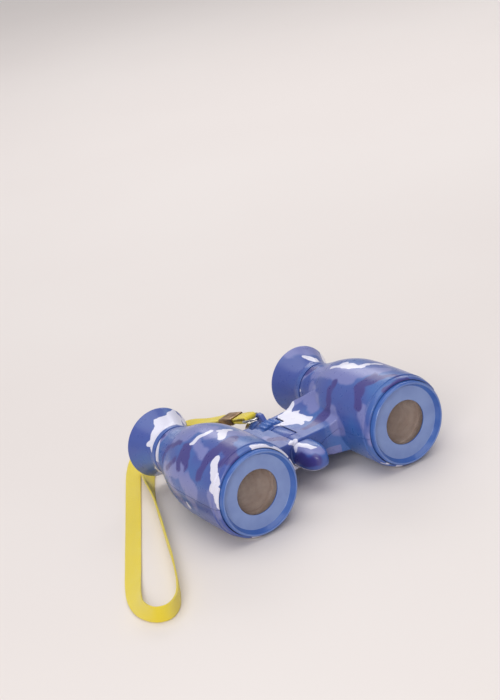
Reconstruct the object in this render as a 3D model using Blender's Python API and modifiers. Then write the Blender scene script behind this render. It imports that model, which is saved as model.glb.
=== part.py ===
"""Toy binoculars with a folding bridge, centre focus and a ribbon lanyard.

Metres, +Z up. The objectives face -Y, and the origin is on the table under the middle of the
binoculars. Lengths along the barrels are given as "depth", measured back from the front rim.
"left" and "right" are the user's, who looks along -Y, so the left barrel is at +X.
"""

import math

import bmesh
import bpy
from mathutils import Matrix, Vector

MM = 0.001
GAP = 0.3 * MM  # clearance between pieces that touch

# Driving dimensions
LENGTH = 77 * MM  # front rim to the back of the eyecups
AXIS_SPACING = 73 * MM  # between the optical axes, opened wide
AXIS_HEIGHT = 18.7 * MM  # of the optical axes over the table
HINGE_DROP = 4.5 * MM  # the hinge axis lies this far below the optical axes
WALL = 1.7 * MM
SEGMENTS = 32

# Barrel, as (radius, depth)
BARREL_OUTSIDE = [
    (18.5, 2.2), (19.1, 5), (19.3, 12), (19.2, 24), (18.85, 33), (18.0, 39),
    (16.3, 45), (14.1, 50.5), (12.2, 55.5), (10.9, 59.5), (10.5, 62),
]
BARREL_INSIDE = [
    (17.8, 0), (17.8, 22), (17.2, 33), (16.2, 39), (14.5, 45), (12.4, 50.5), (10.5, 55.5), (8.9, 59), (8.9, 64),
]
BARREL_FRONT = 2.2 * MM
BARREL_BACK = 62 * MM

# Objective end
RIM_RADIUS = 17.5 * MM
RIM_LIP = 1.2 * MM
FACE_RECESS = 2.3 * MM  # of the flat ring behind the rim
FACE_THICKNESS = 0.7 * MM
WINDOW_RADIUS = 9.3 * MM
RING_DEPTH = 9 * MM
LENS_RADIUS = 11 * MM
LENS_EDGE = 1.6 * MM
LENS_CROWN = 1.3 * MM
TUBE_RADIUS = 12.3 * MM
TUBE_END = 49 * MM

# Eyepiece end
EYE_TUBE_RADIUS = 8.6 * MM
EYE_TUBE_INSIDE = 7.6 * MM
EYE_TUBE_FRONT = 51 * MM
EYE_TUBE_BACK = 69 * MM
COLLAR_FRONT = 62.4 * MM
COLLAR_BACK = 64.6 * MM
COLLAR_RADIUS = 10.5 * MM
EYECUP_RADIUS = 14.7 * MM
EYE_LENS_FRONT = 63.5 * MM
EYE_LENS_EDGE = 1.4 * MM

# Hinge and bridge
KNUCKLE_RADIUS = 6.2 * MM
WING_THICKNESS = 12.1 * MM
HINGE_Z = AXIS_HEIGHT - HINGE_DROP
PIN_RADIUS = 2.7 * MM
NOSE_TIP = 9.3 * MM
BRIDGE_FRONT = 24 * MM
LUG_FRONT = 30.3 * MM  # the right half's knuckle lies between the two of the left half
LUG_BACK = 41.7 * MM
WHEEL_SLOT = (43.8 * MM, 49.4 * MM)
BRIDGE_BACK = 51.5 * MM
WING_ROOT = 8.2 * MM  # half width of the solid middle of the bridge
FOLD = math.radians(46)  # the right half turns up this far before the wings touch
SCREW_PLACES = [(14 * MM, 31 * MM), (14 * MM, 45 * MM)]  # distance from the hinge, depth

# Focus drive
WHEEL_RADIUS = 7.7 * MM
WHEEL_TEETH = 24
SHAFT_RADIUS = 1.7 * MM
BUSH_RADIUS = 3.2 * MM
ARM_HEIGHT = 3.6 * MM
ARM_DROP = 1.0 * MM  # of the bars' middle below the hinge axis

# Lanyard
RIBBON_WIDTH = 6.5 * MM
RIBBON_THICKNESS = 0.8 * MM
WIRE_RADIUS = 0.45 * MM
CLIP_START = Vector((0, 53.6 * MM, AXIS_HEIGHT + 3.0 * MM))  # centre of the lug's hole
CLIP_YAW = math.radians(16)  # towards the right barrel
CLIP_PITCH = math.radians(-12)
TAB_SPAN = (4.6 * MM, 12.8 * MM)  # distances back from the lug's hole
CRIMP_SPAN = (13.1 * MM, 20.6 * MM)

LEFT, RIGHT = 1, -1
SIDE_NAME = {LEFT: "left", RIGHT: "right"}

MATERIALS = {
    "body_plastic": ((0.08, 0.13, 0.42, 1), 0.3, 0.0),
    "ring_plastic": ((0.19, 0.27, 0.60, 1), 0.35, 0.0),
    "tube_plastic": ((0.32, 0.24, 0.20, 1), 0.6, 0.0),
    "lens": ((0.85, 0.85, 0.82, 1), 0.05, 0.0),
    "steel": ((0.6, 0.6, 0.6, 1), 0.3, 1.0),
    "bronze": ((0.30, 0.17, 0.10, 1), 0.4, 1.0),
    "ribbon": ((0.85, 0.66, 0.06, 1), 0.8, 0.0),
}


def y_at(depth):
    """World Y of a place this far behind the front rim."""
    return depth - LENGTH / 2


def axis_x(side):
    return side * AXIS_SPACING / 2


def material(name):
    colour, roughness, metallic = MATERIALS[name]
    made = bpy.data.materials.get(name) or bpy.data.materials.new(name)
    made.use_nodes = True
    shader = made.node_tree.nodes["Principled BSDF"]
    shader.inputs["Base Color"].default_value = colour
    shader.inputs["Roughness"].default_value = roughness
    shader.inputs["Metallic"].default_value = metallic
    made.diffuse_color = colour
    return made


def link(obj):
    bpy.data.collections["toy_binoculars"].objects.link(obj)
    return obj


def solid(obj, weld=0.02 * MM):
    """A new mesh object with the modifiers applied, its loose caps welded and its faces facing out."""
    bpy.context.view_layer.update()
    graph = bpy.context.evaluated_depsgraph_get()
    mesh = bpy.data.meshes.new_from_object(obj.evaluated_get(graph))
    mesh.transform(obj.matrix_world)
    bm = bmesh.new()
    bm.from_mesh(mesh)
    bmesh.ops.remove_doubles(bm, verts=bm.verts, dist=weld)
    bmesh.ops.recalc_face_normals(bm, faces=bm.faces)
    bm.to_mesh(mesh)
    bm.free()
    name = obj.name
    bpy.data.objects.remove(obj)
    made = link(bpy.data.objects.new(name, mesh))
    made.name = name
    return made


def combine(base, other, operation):
    """base joined with, cut by or cropped to other, which is used up."""
    boolean = base.modifiers.new(operation.title(), "BOOLEAN")
    boolean.operation = operation
    boolean.solver = "EXACT"
    boolean.object = other
    made = solid(base)
    bpy.data.objects.remove(other)
    return made


def cut(base, *cutters):
    for cutter in cutters:
        base = combine(base, cutter, "DIFFERENCE")
    return base


def join(base, *others):
    for other in others:
        base = combine(base, other, "UNION")
    return base


def crop(base, other):
    return combine(base, other, "INTERSECT")


def finish(obj, material_name, crease_deg=35):
    """Gives a piece its material and smooth shading."""
    obj.data.materials.clear()
    obj.data.materials.append(material(material_name))
    obj.data.shade_smooth()
    obj.data.set_sharp_from_angle(angle=math.radians(crease_deg))
    return obj


def turned(name, profile, x=0.0, z=AXIS_HEIGHT, segments=SEGMENTS):
    """A solid turned about a line along Y at (x, z). profile is (radius, depth) pairs round its section.

    A profile whose ends lie on the axis makes a plug; any other is closed into a ring.
    """
    mesh = bpy.data.meshes.new(name)
    points = [(radius, y_at(depth), 0) for radius, depth in profile]
    edges = [(i, i + 1) for i in range(len(points) - 1)]
    if profile[0][0] > 0 or profile[-1][0] > 0:
        edges.append((len(points) - 1, 0))
    mesh.from_pydata(points, edges, [])
    obj = link(bpy.data.objects.new(name, mesh))
    obj.location = (x, 0, z)
    screw = obj.modifiers.new("Screw", "SCREW")
    screw.axis = "Y"
    screw.steps = screw.render_steps = segments
    screw.use_merge_vertices = True
    screw.merge_threshold = 0.01 * MM
    return solid(obj)


def in_metres(profile):
    return [(radius * MM, depth * MM) for radius, depth in profile]


def rod(name, radius, front, back, x=0.0, z=HINGE_Z, segments=24):
    return turned(name, [(0, front), (radius, front), (radius, back), (0, back)], x, z, segments)


def sleeve(name, inner, outer, front, back, x=0.0, z=HINGE_Z, segments=24):
    profile = [(inner, front), (outer, front), (outer, back), (inner, back)]
    return turned(name, profile, x, z, segments)


def box(name, low, high):
    bpy.ops.mesh.primitive_cube_add(size=1)
    obj = bpy.context.object
    obj.name = name
    low, high = Vector(low), Vector(high)
    obj.data.transform(Matrix.Diagonal((*(high - low), 1)))
    obj.location = (low + high) / 2
    for collection in list(obj.users_collection):
        collection.objects.unlink(obj)
    return solid(link(obj))


def prism(name, outlines, thickness, matrix):
    """A flat outline, or several with holes, in the XY plane of matrix, thickened equally both ways."""
    curve = bpy.data.curves.new(name, "CURVE")
    curve.dimensions = "2D"
    curve.fill_mode = "BOTH"
    curve.extrude = thickness / 2
    for outline in outlines:
        spline = curve.splines.new("POLY")
        spline.points.add(len(outline) - 1)
        for point, (u, v) in zip(spline.points, outline):
            point.co = (u, v, 0, 1)
        spline.use_cyclic_u = True
    obj = link(bpy.data.objects.new(name, curve))
    obj.matrix_world = matrix
    return solid(obj)


def arc(centre, radius, start_deg, end_deg, steps):
    """Points round an arc, as (u, v)."""
    turns = [math.radians(start_deg + (end_deg - start_deg) * i / steps) for i in range(steps + 1)]
    return [(centre[0] + radius * math.cos(t), centre[1] + radius * math.sin(t)) for t in turns]


# The XZ plane seen from the front, at Y = 0: outline u is X and v is Z.
FRONT_PLANE = Matrix.Rotation(math.radians(90), 4, "X")
# The YZ plane seen from the side, at X = 0: outline u is Y and v is Z.
SIDE_PLANE = Matrix(((0, 0, 1, 0), (1, 0, 0, 0), (0, 1, 0, 0), (0, 0, 0, 1)))


def wing_section(side, inset):
    """The bridge's section from the hinge to the barrel, as seen from the front."""
    half = WING_THICKNESS / 2 - inset
    top, bottom = HINGE_Z + half, HINGE_Z - half
    start = 0 if inset == 0 else WING_ROOT
    sweep = 13 * MM + inset  # radius of the fillet up to the barrel
    fillet = arc((WING_ROOT + 1.5 * MM, top + sweep), sweep, -90, -20, 6)
    under = arc((WING_ROOT, bottom - 22 * MM), 22 * MM, 76, 90, 3)
    end = 32 * MM - inset  # inside the barrel
    outline = [(start, top), *fillet, (end, fillet[-1][1]), (end, under[0][1]), *under]
    outline.append((start, bottom))
    return [(side * x, z) for x, z in outline]


def wing_plan(side, inset):
    """The bridge's outline from above, as (X, Y)."""
    front, back = BRIDGE_FRONT + inset, BRIDGE_BACK - inset
    outline = [
        (0, front), (12 * MM, front), (20 * MM, front - 3 * MM), (32 * MM, front - 8 * MM),
        (32 * MM, back + 4 * MM), (26 * MM, back + 3.7 * MM), (19 * MM, back + 2.6 * MM),
        (12 * MM, back + 0.6 * MM), (0, back),
    ]
    return [(side * x, y_at(depth)) for x, depth in outline]


def wing(name, side, inset=0.0):
    section = prism(name, [wing_section(side, inset)], 2 * LENGTH, FRONT_PLANE)
    plan = prism("plan", [wing_plan(side, inset)], 0.2, Matrix.Identity(4))
    made = crop(section, plan)
    # its top falls towards the eyepieces, so that it stays under the barrel's shoulder
    slope = [(40, 40), (40, 29.6), (46, 26.6), (52, 23.0), (57, 20.6), (80, 20.6), (80, 40)]
    slope = [(y_at(depth * MM), height * MM - inset * 1.1) for depth, height in slope]
    return cut(made, prism("slope", [slope], 0.2, SIDE_PLANE))


def parting_region(side, above):
    """Everything above, or below, the line where the two shells of one half meet."""
    edge = GAP / 2 if above else -GAP / 2
    far = AXIS_HEIGHT + (0.1 if above else -0.1)
    line = [
        (-20 * MM, HINGE_Z), (9 * MM, HINGE_Z), (18 * MM, AXIS_HEIGHT), (80 * MM, AXIS_HEIGHT),
    ]
    outline = [(side * x, z + edge) for x, z in line]
    outline += [(side * 80 * MM, far), (side * -20 * MM, far)]
    return prism("parting", [outline], 2 * LENGTH, FRONT_PLANE)


def upright(name, radius, x, y, low, high, segments=16):
    """A cylinder standing on end."""
    bpy.ops.mesh.primitive_cylinder_add(vertices=segments, radius=radius, depth=high - low)
    obj = bpy.context.object
    obj.name = name
    obj.location = (x, y, (low + high) / 2)
    for collection in list(obj.users_collection):
        collection.objects.unlink(obj)
    return solid(link(obj))


SCREW_HEAD_RADIUS = 2.3 * MM
SCREW_RADIUS = 1.1 * MM
SCREW_SEAT = HINGE_Z - KNUCKLE_RADIUS + 2.6 * MM  # height of the underside of each head
SCREW_TIP = HINGE_Z + 3.6 * MM


def pin_hole():
    return rod("pin_hole", PIN_RADIUS + GAP, -0.01, WHEEL_SLOT[0] + MM)


def half_without_pin(side):
    """One barrel with its part of the bridge, hollow, before it is parted into two shells."""
    x = axis_x(side)
    barrel = in_metres(BARREL_OUTSIDE)
    barrel = [(0, barrel[0][1]), *barrel, (0, barrel[-1][1])]
    half = join(turned("half", barrel, x), wing("wing", side))
    half = join(half, rod("knuckle", KNUCKLE_RADIUS, BRIDGE_FRONT, BRIDGE_BACK))
    belly = box("belly", (-0.1, -0.1, -0.05), (0.1, 0.1, 0))
    inside = in_metres(BARREL_INSIDE)
    inside = [(0, inside[0][1]), *inside, (0, inside[-1][1])]
    hollow = join(turned("hollow", inside, x), wing("wing_hollow", side, WALL))
    for distance, depth in SCREW_PLACES:
        post = upright("post", SCREW_HEAD_RADIUS + 1.2 * MM, side * distance, y_at(depth), 0, 0.03)
        hollow = cut(hollow, post)
    half = cut(half, belly, hollow)
    for distance, depth in SCREW_PLACES:
        place = side * distance, y_at(depth)
        half = cut(half, upright("head_hole", SCREW_HEAD_RADIUS + GAP, *place, -0.01, SCREW_SEAT))
        half = cut(half, upright("hole", SCREW_RADIUS + GAP, *place, -0.01, SCREW_TIP + GAP))
    return half


def wheel_slot():
    room = WHEEL_RADIUS + 0.6 * MM
    return rod("wheel_slot", room, WHEEL_SLOT[0], WHEEL_SLOT[1])


def left_closed_half():
    """The left half carries the front and back knuckles, the wheel's slot and the lanyard's lug."""
    half = cut(half_without_pin(LEFT), pin_hole())
    clear = KNUCKLE_RADIUS + 0.8 * MM
    half = cut(half, rod("lug_room", clear, LUG_FRONT - GAP, LUG_BACK + GAP), wheel_slot())
    half = cut(half, rod("shaft_hole", SHAFT_RADIUS + GAP, WHEEL_SLOT[1] - MM, BRIDGE_BACK + MM))
    hole_y, hole_z = CLIP_START.y, CLIP_START.z
    foot = y_at(BRIDGE_BACK - 2.1 * MM)
    tip = y_at(hole_y)
    outline = [
        (foot, HINGE_Z + 3.5 * MM), (foot, hole_z + 0.6 * MM), (foot + 1.6 * MM, hole_z + 2.1 * MM),
        *arc((tip, hole_z), 2.1 * MM, 90, -70, 6),
        (y_at(BRIDGE_BACK), HINGE_Z + 5.6 * MM), (y_at(BRIDGE_BACK), HINGE_Z + 3.5 * MM),
    ]
    side_plane = Matrix(((0, 0, 1, 0), (1, 0, 0, 0), (0, 1, 0, 0), (0, 0, 0, 1)))
    hole = arc((tip, hole_z), 1.0 * MM, 0, -330, 11)
    return join(half, prism("strap_lug", [outline, hole], 2.4 * MM, side_plane))


def fold_relief():
    """The room that the left half's wing takes up, seen from the right half when it is folded up."""
    room = box("relief", (0, -0.1, -0.05), (0.05, 0.1, KNUCKLE_RADIUS + GAP))
    hinge = Matrix.Translation((0, 0, HINGE_Z))
    room.data.transform(hinge @ Matrix.Rotation(-FOLD, 4, "Y"))
    return room


def right_closed_half():
    """The right half carries the middle knuckle, which turns on the pin."""
    half = cut(half_without_pin(RIGHT), fold_relief())
    whole_knuckle = rod("knuckle", KNUCKLE_RADIUS + 0.05 * MM, LUG_FRONT + 0.1 * MM, LUG_BACK - 0.1 * MM)
    half = cut(join(half, whole_knuckle), pin_hole())
    clear = KNUCKLE_RADIUS + 0.6 * MM
    wheel_clear = WHEEL_RADIUS + 0.8 * MM
    half = cut(half, rod("front_room", clear, 0, LUG_FRONT))
    return cut(
        half,
        rod("back_room", clear, LUG_BACK, LENGTH),
        rod("wheel_room", wheel_clear, LUG_BACK + MM, LENGTH),
        rod("strap_lug_room", 9.8 * MM, WHEEL_SLOT[1] - MM, LENGTH),
    )


def shells(side):
    whole = {LEFT: left_closed_half, RIGHT: right_closed_half}[side]()
    lower = link(whole.copy())
    lower.data = whole.data.copy()
    whole.name = SIDE_NAME[side] + "_barrel_top"
    lower.name = SIDE_NAME[side] + "_barrel_bottom"
    finish(crop(whole, parting_region(side, True)), "body_plastic")
    finish(crop(lower, parting_region(side, False)), "body_plastic")


def shell_screws(side):
    for number, (distance, depth) in enumerate(SCREW_PLACES, 1):
        place = side * distance, y_at(depth)
        low = SCREW_SEAT - 1.7 * MM
        name = f"{SIDE_NAME[side]}_shell_screw_{number}"
        screw = upright(name, SCREW_HEAD_RADIUS, *place, low, SCREW_SEAT - GAP)
        screw = join(screw, upright("shank", SCREW_RADIUS, *place, low + 0.5 * MM, SCREW_TIP, 12))
        slot = 1.5 * MM, 0.35 * MM
        for a, b in (slot, slot[::-1]):
            recess = box(
                "recess",
                (place[0] - a, place[1] - b, low - MM),
                (place[0] + a, place[1] + b, low + 0.8 * MM),
            )
            screw = cut(screw, recess)
        finish(screw, "steel")


def lens(name, x, front, radius, edge, crown):
    """A round lens, domed on both faces, whose rim starts at depth front."""
    steps = 4
    dome = [(radius * i / steps, crown * (1 - (i / steps) ** 2)) for i in range(steps + 1)]
    profile = [(r, front - sag) for r, sag in dome]
    profile += [(r, front + edge + sag) for r, sag in reversed(dome)]
    return finish(turned(name, profile, x), "lens", 20)


def objective(side):
    """The front ring, its lens and the tube that holds the lens and hides the inside of the shells."""
    x, name = axis_x(side), SIDE_NAME[side]
    inside = RIM_RADIUS - RIM_LIP
    face_back = FACE_RECESS + FACE_THICKNESS
    profile = [
        (WINDOW_RADIUS, FACE_RECESS), (inside - 1.1 * MM, FACE_RECESS), (inside, 0.3 * MM),
        (inside + 0.3 * MM, 0), (RIM_RADIUS - 0.4 * MM, 0), (RIM_RADIUS, 0.5 * MM),
        (RIM_RADIUS, RING_DEPTH), (inside, RING_DEPTH), (inside, face_back), (WINDOW_RADIUS, face_back),
    ]
    finish(turned(name + "_objective_ring", profile, x), "ring_plastic")
    lens_front = face_back + LENS_CROWN + GAP
    lens(name + "_objective_lens", x, lens_front, LENS_RADIUS, LENS_EDGE, LENS_CROWN)
    flange = lens_front + LENS_EDGE + GAP
    tube_inside = TUBE_RADIUS - 1.1 * MM
    seat = LENS_RADIUS - 1.2 * MM
    back_of_flange = flange + 1.6 * MM
    profile = [
        (seat, flange), (inside - GAP, flange), (inside - GAP, back_of_flange),
        (TUBE_RADIUS, back_of_flange), (TUBE_RADIUS, 30 * MM), (TUBE_RADIUS - 1.6 * MM, TUBE_END),
        (tube_inside - 1.6 * MM, TUBE_END), (tube_inside, 30 * MM),
        (tube_inside, back_of_flange), (seat, back_of_flange),
    ]
    finish(turned(name + "_lens_tube", profile, x), "tube_plastic")


def eyepiece(side):
    """The sliding tube with its eyecup, lens and the ring that keeps the lens in."""
    x, name = axis_x(side), SIDE_NAME[side]
    lens_stop = EYE_TUBE_INSIDE - 1.1 * MM
    stop_back = EYE_LENS_FRONT - GAP
    profile = [
        (EYE_TUBE_INSIDE, EYE_TUBE_FRONT), (EYE_TUBE_RADIUS, EYE_TUBE_FRONT),
        (EYE_TUBE_RADIUS, EYE_TUBE_BACK), (EYE_TUBE_INSIDE, EYE_TUBE_BACK),
        (EYE_TUBE_INSIDE, stop_back), (lens_stop, stop_back),
        (lens_stop, stop_back - 1.2 * MM), (EYE_TUBE_INSIDE, stop_back - 1.2 * MM),
    ]
    finish(turned(name + "_eyepiece_tube", profile, x), "body_plastic")
    lens_radius = EYE_TUBE_INSIDE - GAP
    lens(name + "_eye_lens", x, EYE_LENS_FRONT, lens_radius, EYE_LENS_EDGE, 1.0 * MM)
    ring_front = EYE_LENS_FRONT + EYE_LENS_EDGE + GAP
    ring = sleeve(
        name + "_eye_lens_ring", lens_radius - 0.9 * MM, lens_radius, ring_front,
        ring_front + 1.5 * MM, x, AXIS_HEIGHT, SEGMENTS,
    )
    finish(ring, "ring_plastic")
    front, bore = COLLAR_BACK + GAP, EYE_TUBE_RADIUS + GAP
    flare = 5
    throat = 10.1 * MM
    outside = [
        (throat + (EYECUP_RADIUS - throat) * (i / flare) ** 1.25, front + 1.2 * MM + 10.3 * MM * i / flare)
        for i in range(flare + 1)
    ]
    lip = EYECUP_RADIUS - 1.3 * MM
    profile = [
        (bore, front), (throat, front), *outside, (EYECUP_RADIUS, LENGTH - 0.4 * MM),
        (EYECUP_RADIUS - 0.4 * MM, LENGTH), (lip, LENGTH), (lip - 3.4 * MM, EYE_TUBE_BACK + 0.9 * MM),
        (bore, EYE_TUBE_BACK + 0.6 * MM),
    ]
    finish(turned(name + "_eyecup", profile, x), "body_plastic")


ARM_RING = {LEFT: (52.6 * MM, 54.6 * MM), RIGHT: (54.9 * MM, 56.9 * MM)}
ARM_RING_RADIUS = 4.4 * MM


def focus_arm(side):
    """The bar that carries an eyepiece along with the focus bush, and lets it fold round the hinge."""
    x = axis_x(side)
    collar = sleeve(
        SIDE_NAME[side] + "_focus_arm", EYE_TUBE_RADIUS + GAP, COLLAR_RADIUS,
        COLLAR_FRONT, COLLAR_BACK, x, AXIS_HEIGHT, SEGMENTS,
    )
    front, back = ARM_RING[side]
    hub = sleeve("hub", BUSH_RADIUS + GAP, ARM_RING_RADIUS, front, back)
    outline = [
        (3.9 * MM, front), (9 * MM, front), (20 * MM, 59.6 * MM), (25.5 * MM, COLLAR_FRONT),
        (28.2 * MM, COLLAR_FRONT), (28.2 * MM, COLLAR_BACK), (24 * MM, COLLAR_BACK),
        (18.5 * MM, 61.4 * MM), (9 * MM, back + 0.9 * MM * (side == LEFT)), (3.9 * MM, back),
    ]
    plan = [(side * u, y_at(depth)) for u, depth in outline]
    middle = Matrix.Translation((0, 0, HINGE_Z - ARM_DROP))
    bar = prism("bar", [plan], ARM_HEIGHT, middle)
    finish(join(collar, hub, bar), "body_plastic")


def hinge_and_nose():
    finish(rod("hinge_pin", PIN_RADIUS, 14.5 * MM, WHEEL_SLOT[0] - 0.4 * MM), "steel")
    length = BRIDGE_FRONT - GAP - NOSE_TIP
    steps = 7
    bullet = [
        (
            (KNUCKLE_RADIUS - 0.1 * MM) * math.sin(math.radians(90 * i / steps)) ** 0.8,
            NOSE_TIP + length * 0.75 * (1 - math.cos(math.radians(90 * i / steps))),
        )
        for i in range(steps + 1)
    ]
    back = BRIDGE_FRONT - GAP
    nose = turned("hinge_nose", [*bullet, (bullet[-1][0], back), (0, back)], 0, HINGE_Z)
    finish(cut(nose, rod("socket", PIN_RADIUS + GAP, 14.2 * MM, back + MM)), "body_plastic")


def focus_drive():
    front, back = WHEEL_SLOT[0] + GAP, WHEEL_SLOT[1] - GAP
    teeth = []
    for i in range(WHEEL_TEETH):
        step = 360 / WHEEL_TEETH
        for share, radius in ((0, 1), (0.3, 1), (0.5, 0.93), (0.8, 0.93)):
            turn = math.radians(step * (i + share))
            teeth.append((WHEEL_RADIUS * radius * math.cos(turn), WHEEL_RADIUS * radius * math.sin(turn)))
    place = Matrix.Translation((0, y_at((front + back) / 2), HINGE_Z)) @ FRONT_PLANE
    wheel = prism("focus_wheel", [teeth], back - front, place)
    bore = rod("bore", SHAFT_RADIUS + GAP, front - MM, back + MM)
    finish(cut(wheel, bore), "ring_plastic", 20)
    shaft_end = 62.4 * MM
    shaft_front = WHEEL_SLOT[0] + 0.1 * MM
    finish(rod("focus_screw", SHAFT_RADIUS, shaft_front, shaft_end, segments=16), "steel")
    stop = sleeve("focus_end_stop", SHAFT_RADIUS + GAP, 2.6 * MM, 61.5 * MM, 62.9 * MM, segments=16)
    finish(stop, "steel")
    bore, flange_front = SHAFT_RADIUS + GAP, ARM_RING[RIGHT][1] + GAP
    bush_end = flange_front + 1.0 * MM
    profile = [
        (bore, 52.6 * MM), (BUSH_RADIUS, 52.6 * MM), (BUSH_RADIUS, flange_front),
        (4.3 * MM, flange_front), (4.3 * MM, bush_end), (bore, bush_end),
    ]
    finish(turned("focus_bush", profile, 0, HINGE_Z, 24), "body_plastic")
    washer = sleeve("focus_washer", SHAFT_RADIUS + GAP, 4.3 * MM, BRIDGE_BACK + GAP, 52.3 * MM)
    finish(washer, "steel")


def clip_frame(along):
    """Where the lanyard's clip is, this far back from the lug's hole: +Y along it, +X across."""
    place = Vector((0, y_at(CLIP_START.y), CLIP_START.z))
    turn = Matrix.Rotation(CLIP_YAW, 4, "Z") @ Matrix.Rotation(CLIP_PITCH, 4, "X")
    return Matrix.Translation(place) @ turn @ Matrix.Translation((0, along, 0))


def clip():
    """The wire loop through the lug, the ribbon tab folded round it and the crimp."""
    reach = TAB_SPAN[0] + 1.6 * MM
    half_width = RIBBON_WIDTH / 2 + 0.9 * MM
    outline = [
        (-1.7, 0.25), (0, 0), (1.7, 0.25), (2.9, 1.6), (3.8, 4.2), (half_width / MM, 5.6),
        (half_width / MM - 0.7, reach / MM), (0, reach / MM + 0.1), (-half_width / MM + 0.7, reach / MM),
        (-half_width / MM, 5.6), (-3.8, 4.2), (-2.9, 1.6),
    ]
    curve = bpy.data.curves.new("strap_ring", "CURVE")
    curve.dimensions = "3D"
    curve.bevel_depth = WIRE_RADIUS
    curve.bevel_resolution = 2
    spline = curve.splines.new("POLY")
    spline.points.add(len(outline) - 1)
    for point, (u, v) in zip(spline.points, outline):
        point.co = (u * MM, v * MM, 0, 1)
    spline.use_cyclic_u = True
    ring = link(bpy.data.objects.new("strap_ring", curve))
    ring.matrix_world = clip_frame(0)
    finish(solid(ring), "steel")

    side_on = Matrix(((0, 0, 1, 0), (1, 0, 0, 0), (0, 1, 0, 0), (0, 0, 0, 1)))
    thick = 1.25 * MM
    eye = (reach, 0)
    loop = [*arc(eye, thick + 0.2 * MM, 270, 90, 8), (TAB_SPAN[1], thick * 0.7), (TAB_SPAN[1], -thick * 0.7)]
    hole = arc(eye, WIRE_RADIUS + GAP, 0, 330, 11)
    tab = prism("strap_tab", [loop, hole], RIBBON_WIDTH, clip_frame(0) @ side_on)
    finish(tab, "ribbon")

    half = RIBBON_WIDTH / 2 + GAP
    outer = [(-half - 0.8 * MM, -1.9 * MM), (half + 0.8 * MM, -1.9 * MM)]
    outer += [(u, -v) for u, v in reversed(outer)]
    inner = [(-half, -1.25 * MM), (half, -1.25 * MM)]
    inner += [(u, -v) for u, v in reversed(inner)]
    length = CRIMP_SPAN[1] - CRIMP_SPAN[0]
    across = clip_frame(sum(CRIMP_SPAN) / 2) @ Matrix.Rotation(math.radians(90), 4, "X")
    finish(prism("strap_crimp", [outer, inner], length, across), "bronze")


# The ribbon's route from the crimp and back to it: X, depth and height of its middle, and its
# tilt, where 0 lies flat and 90 stands on edge. It was laid out by hand.
RIBBON_ROUTE = [
    (-9.6, 83.4, 15.0, 0), (-13.8, 91.9, 13.6, 0), (-18.9, 100.7, 9.8, 0), (-25.4, 106.6, 5.0, 0),
    (-32.8, 106.0, 1.6, 0), (-41.0, 96.7, 0.7, 0), (-50.0, 82.2, 0.6, 0), (-59.6, 66.1, 0.6, 0),
    (-68.8, 50.7, 0.6, 0), (-77.7, 35.9, 0.6, 0), (-86.2, 21.6, 0.7, 2), (-93.3, 9.6, 1.1, 9),
    (-99.0, -1.7, 2.2, 29), (-102.2, -12.2, 3.3, 63), (-101.0, -20.0, 3.5, 86), (-96.2, -22.4, 3.5, 90),
    (-90.2, -18.6, 3.5, 90), (-85.0, -11.0, 3.5, 90), (-80.3, -2.0, 3.5, 90), (-74.2, 10.5, 3.5, 90),
    (-67.8, 25.0, 3.5, 90), (-60.7, 40.9, 3.5, 90), (-53.2, 58.2, 3.5, 84), (-46.2, 74.3, 3.1, 60),
    (-39.5, 87.0, 2.1, 30), (-33.0, 94.7, 1.3, 12), (-27.0, 97.6, 1.9, 4), (-21.3, 96.0, 4.6, 0),
    (-16.2, 91.0, 9.2, 0), (-11.6, 83.8, 12.9, 0),
]
RIBBON_POINTS = 78


def smooth_line(points, count):
    """count points along a Catmull-Rom curve through points, which are tuples of any length."""
    ends = [tuple(2 * a - b for a, b in zip(points[0], points[1]))]
    tail = [tuple(2 * a - b for a, b in zip(points[-1], points[-2]))]
    knots = [*ends, *points, *tail]
    made = []
    for i in range(count):
        place = (len(points) - 1) * i / (count - 1)
        k = min(int(place), len(points) - 2)
        t = place - k
        a, b, c, d = knots[k : k + 4]
        made.append(tuple(
            0.5 * (2 * q + (r - p) * t + (2 * p - 5 * q + 4 * r - s) * t * t + (3 * q - p - 3 * r + s) * t**3)
            for p, q, r, s in zip(a, b, c, d)
        ))
    return made


def ribbon_knots():
    """The whole route in metres, with the stretches inside the crimp at both ends."""
    route = [(x * MM, y_at(depth * MM), z * MM, math.radians(tilt)) for x, depth, z, tilt in RIBBON_ROUTE]
    inside = CRIMP_SPAN[0] + 1.5 * MM, CRIMP_SPAN[1] + 0.5 * MM
    upper, lower = (
        [tuple(clip_frame(along) @ Vector((0, 0, lift))) + (0.0,) for along in inside]
        for lift in (0.62 * MM, -0.62 * MM)
    )
    return [*upper, *route, *reversed(lower)]


def lanyard():
    section = bpy.data.curves.new("ribbon_section", "CURVE")
    section.dimensions = "2D"
    outline = section.splines.new("POLY")
    outline.points.add(3)
    half, thin = RIBBON_WIDTH / 2, RIBBON_THICKNESS / 2
    for point, (u, v) in zip(outline.points, [(-half, -thin), (half, -thin), (half, thin), (-half, thin)]):
        point.co = (u, v, 0, 1)
    outline.use_cyclic_u = True
    guide = bpy.data.objects.new("ribbon_section", section)
    bpy.data.collections["guides"].objects.link(guide)
    guide.hide_render = True
    guide.display_type = "WIRE"

    curve = bpy.data.curves.new("strap", "CURVE")
    curve.dimensions = "3D"
    curve.twist_mode = "Z_UP"
    curve.bevel_mode = "OBJECT"
    curve.bevel_object = guide
    curve.use_fill_caps = True
    line = smooth_line(ribbon_knots(), RIBBON_POINTS)
    spline = curve.splines.new("POLY")
    spline.points.add(len(line) - 1)
    for point, (x, y, z, tilt) in zip(spline.points, line):
        point.co = (x, y, z, 1)
        point.tilt = tilt
    finish(solid(link(bpy.data.objects.new("strap", curve))), "ribbon")


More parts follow.
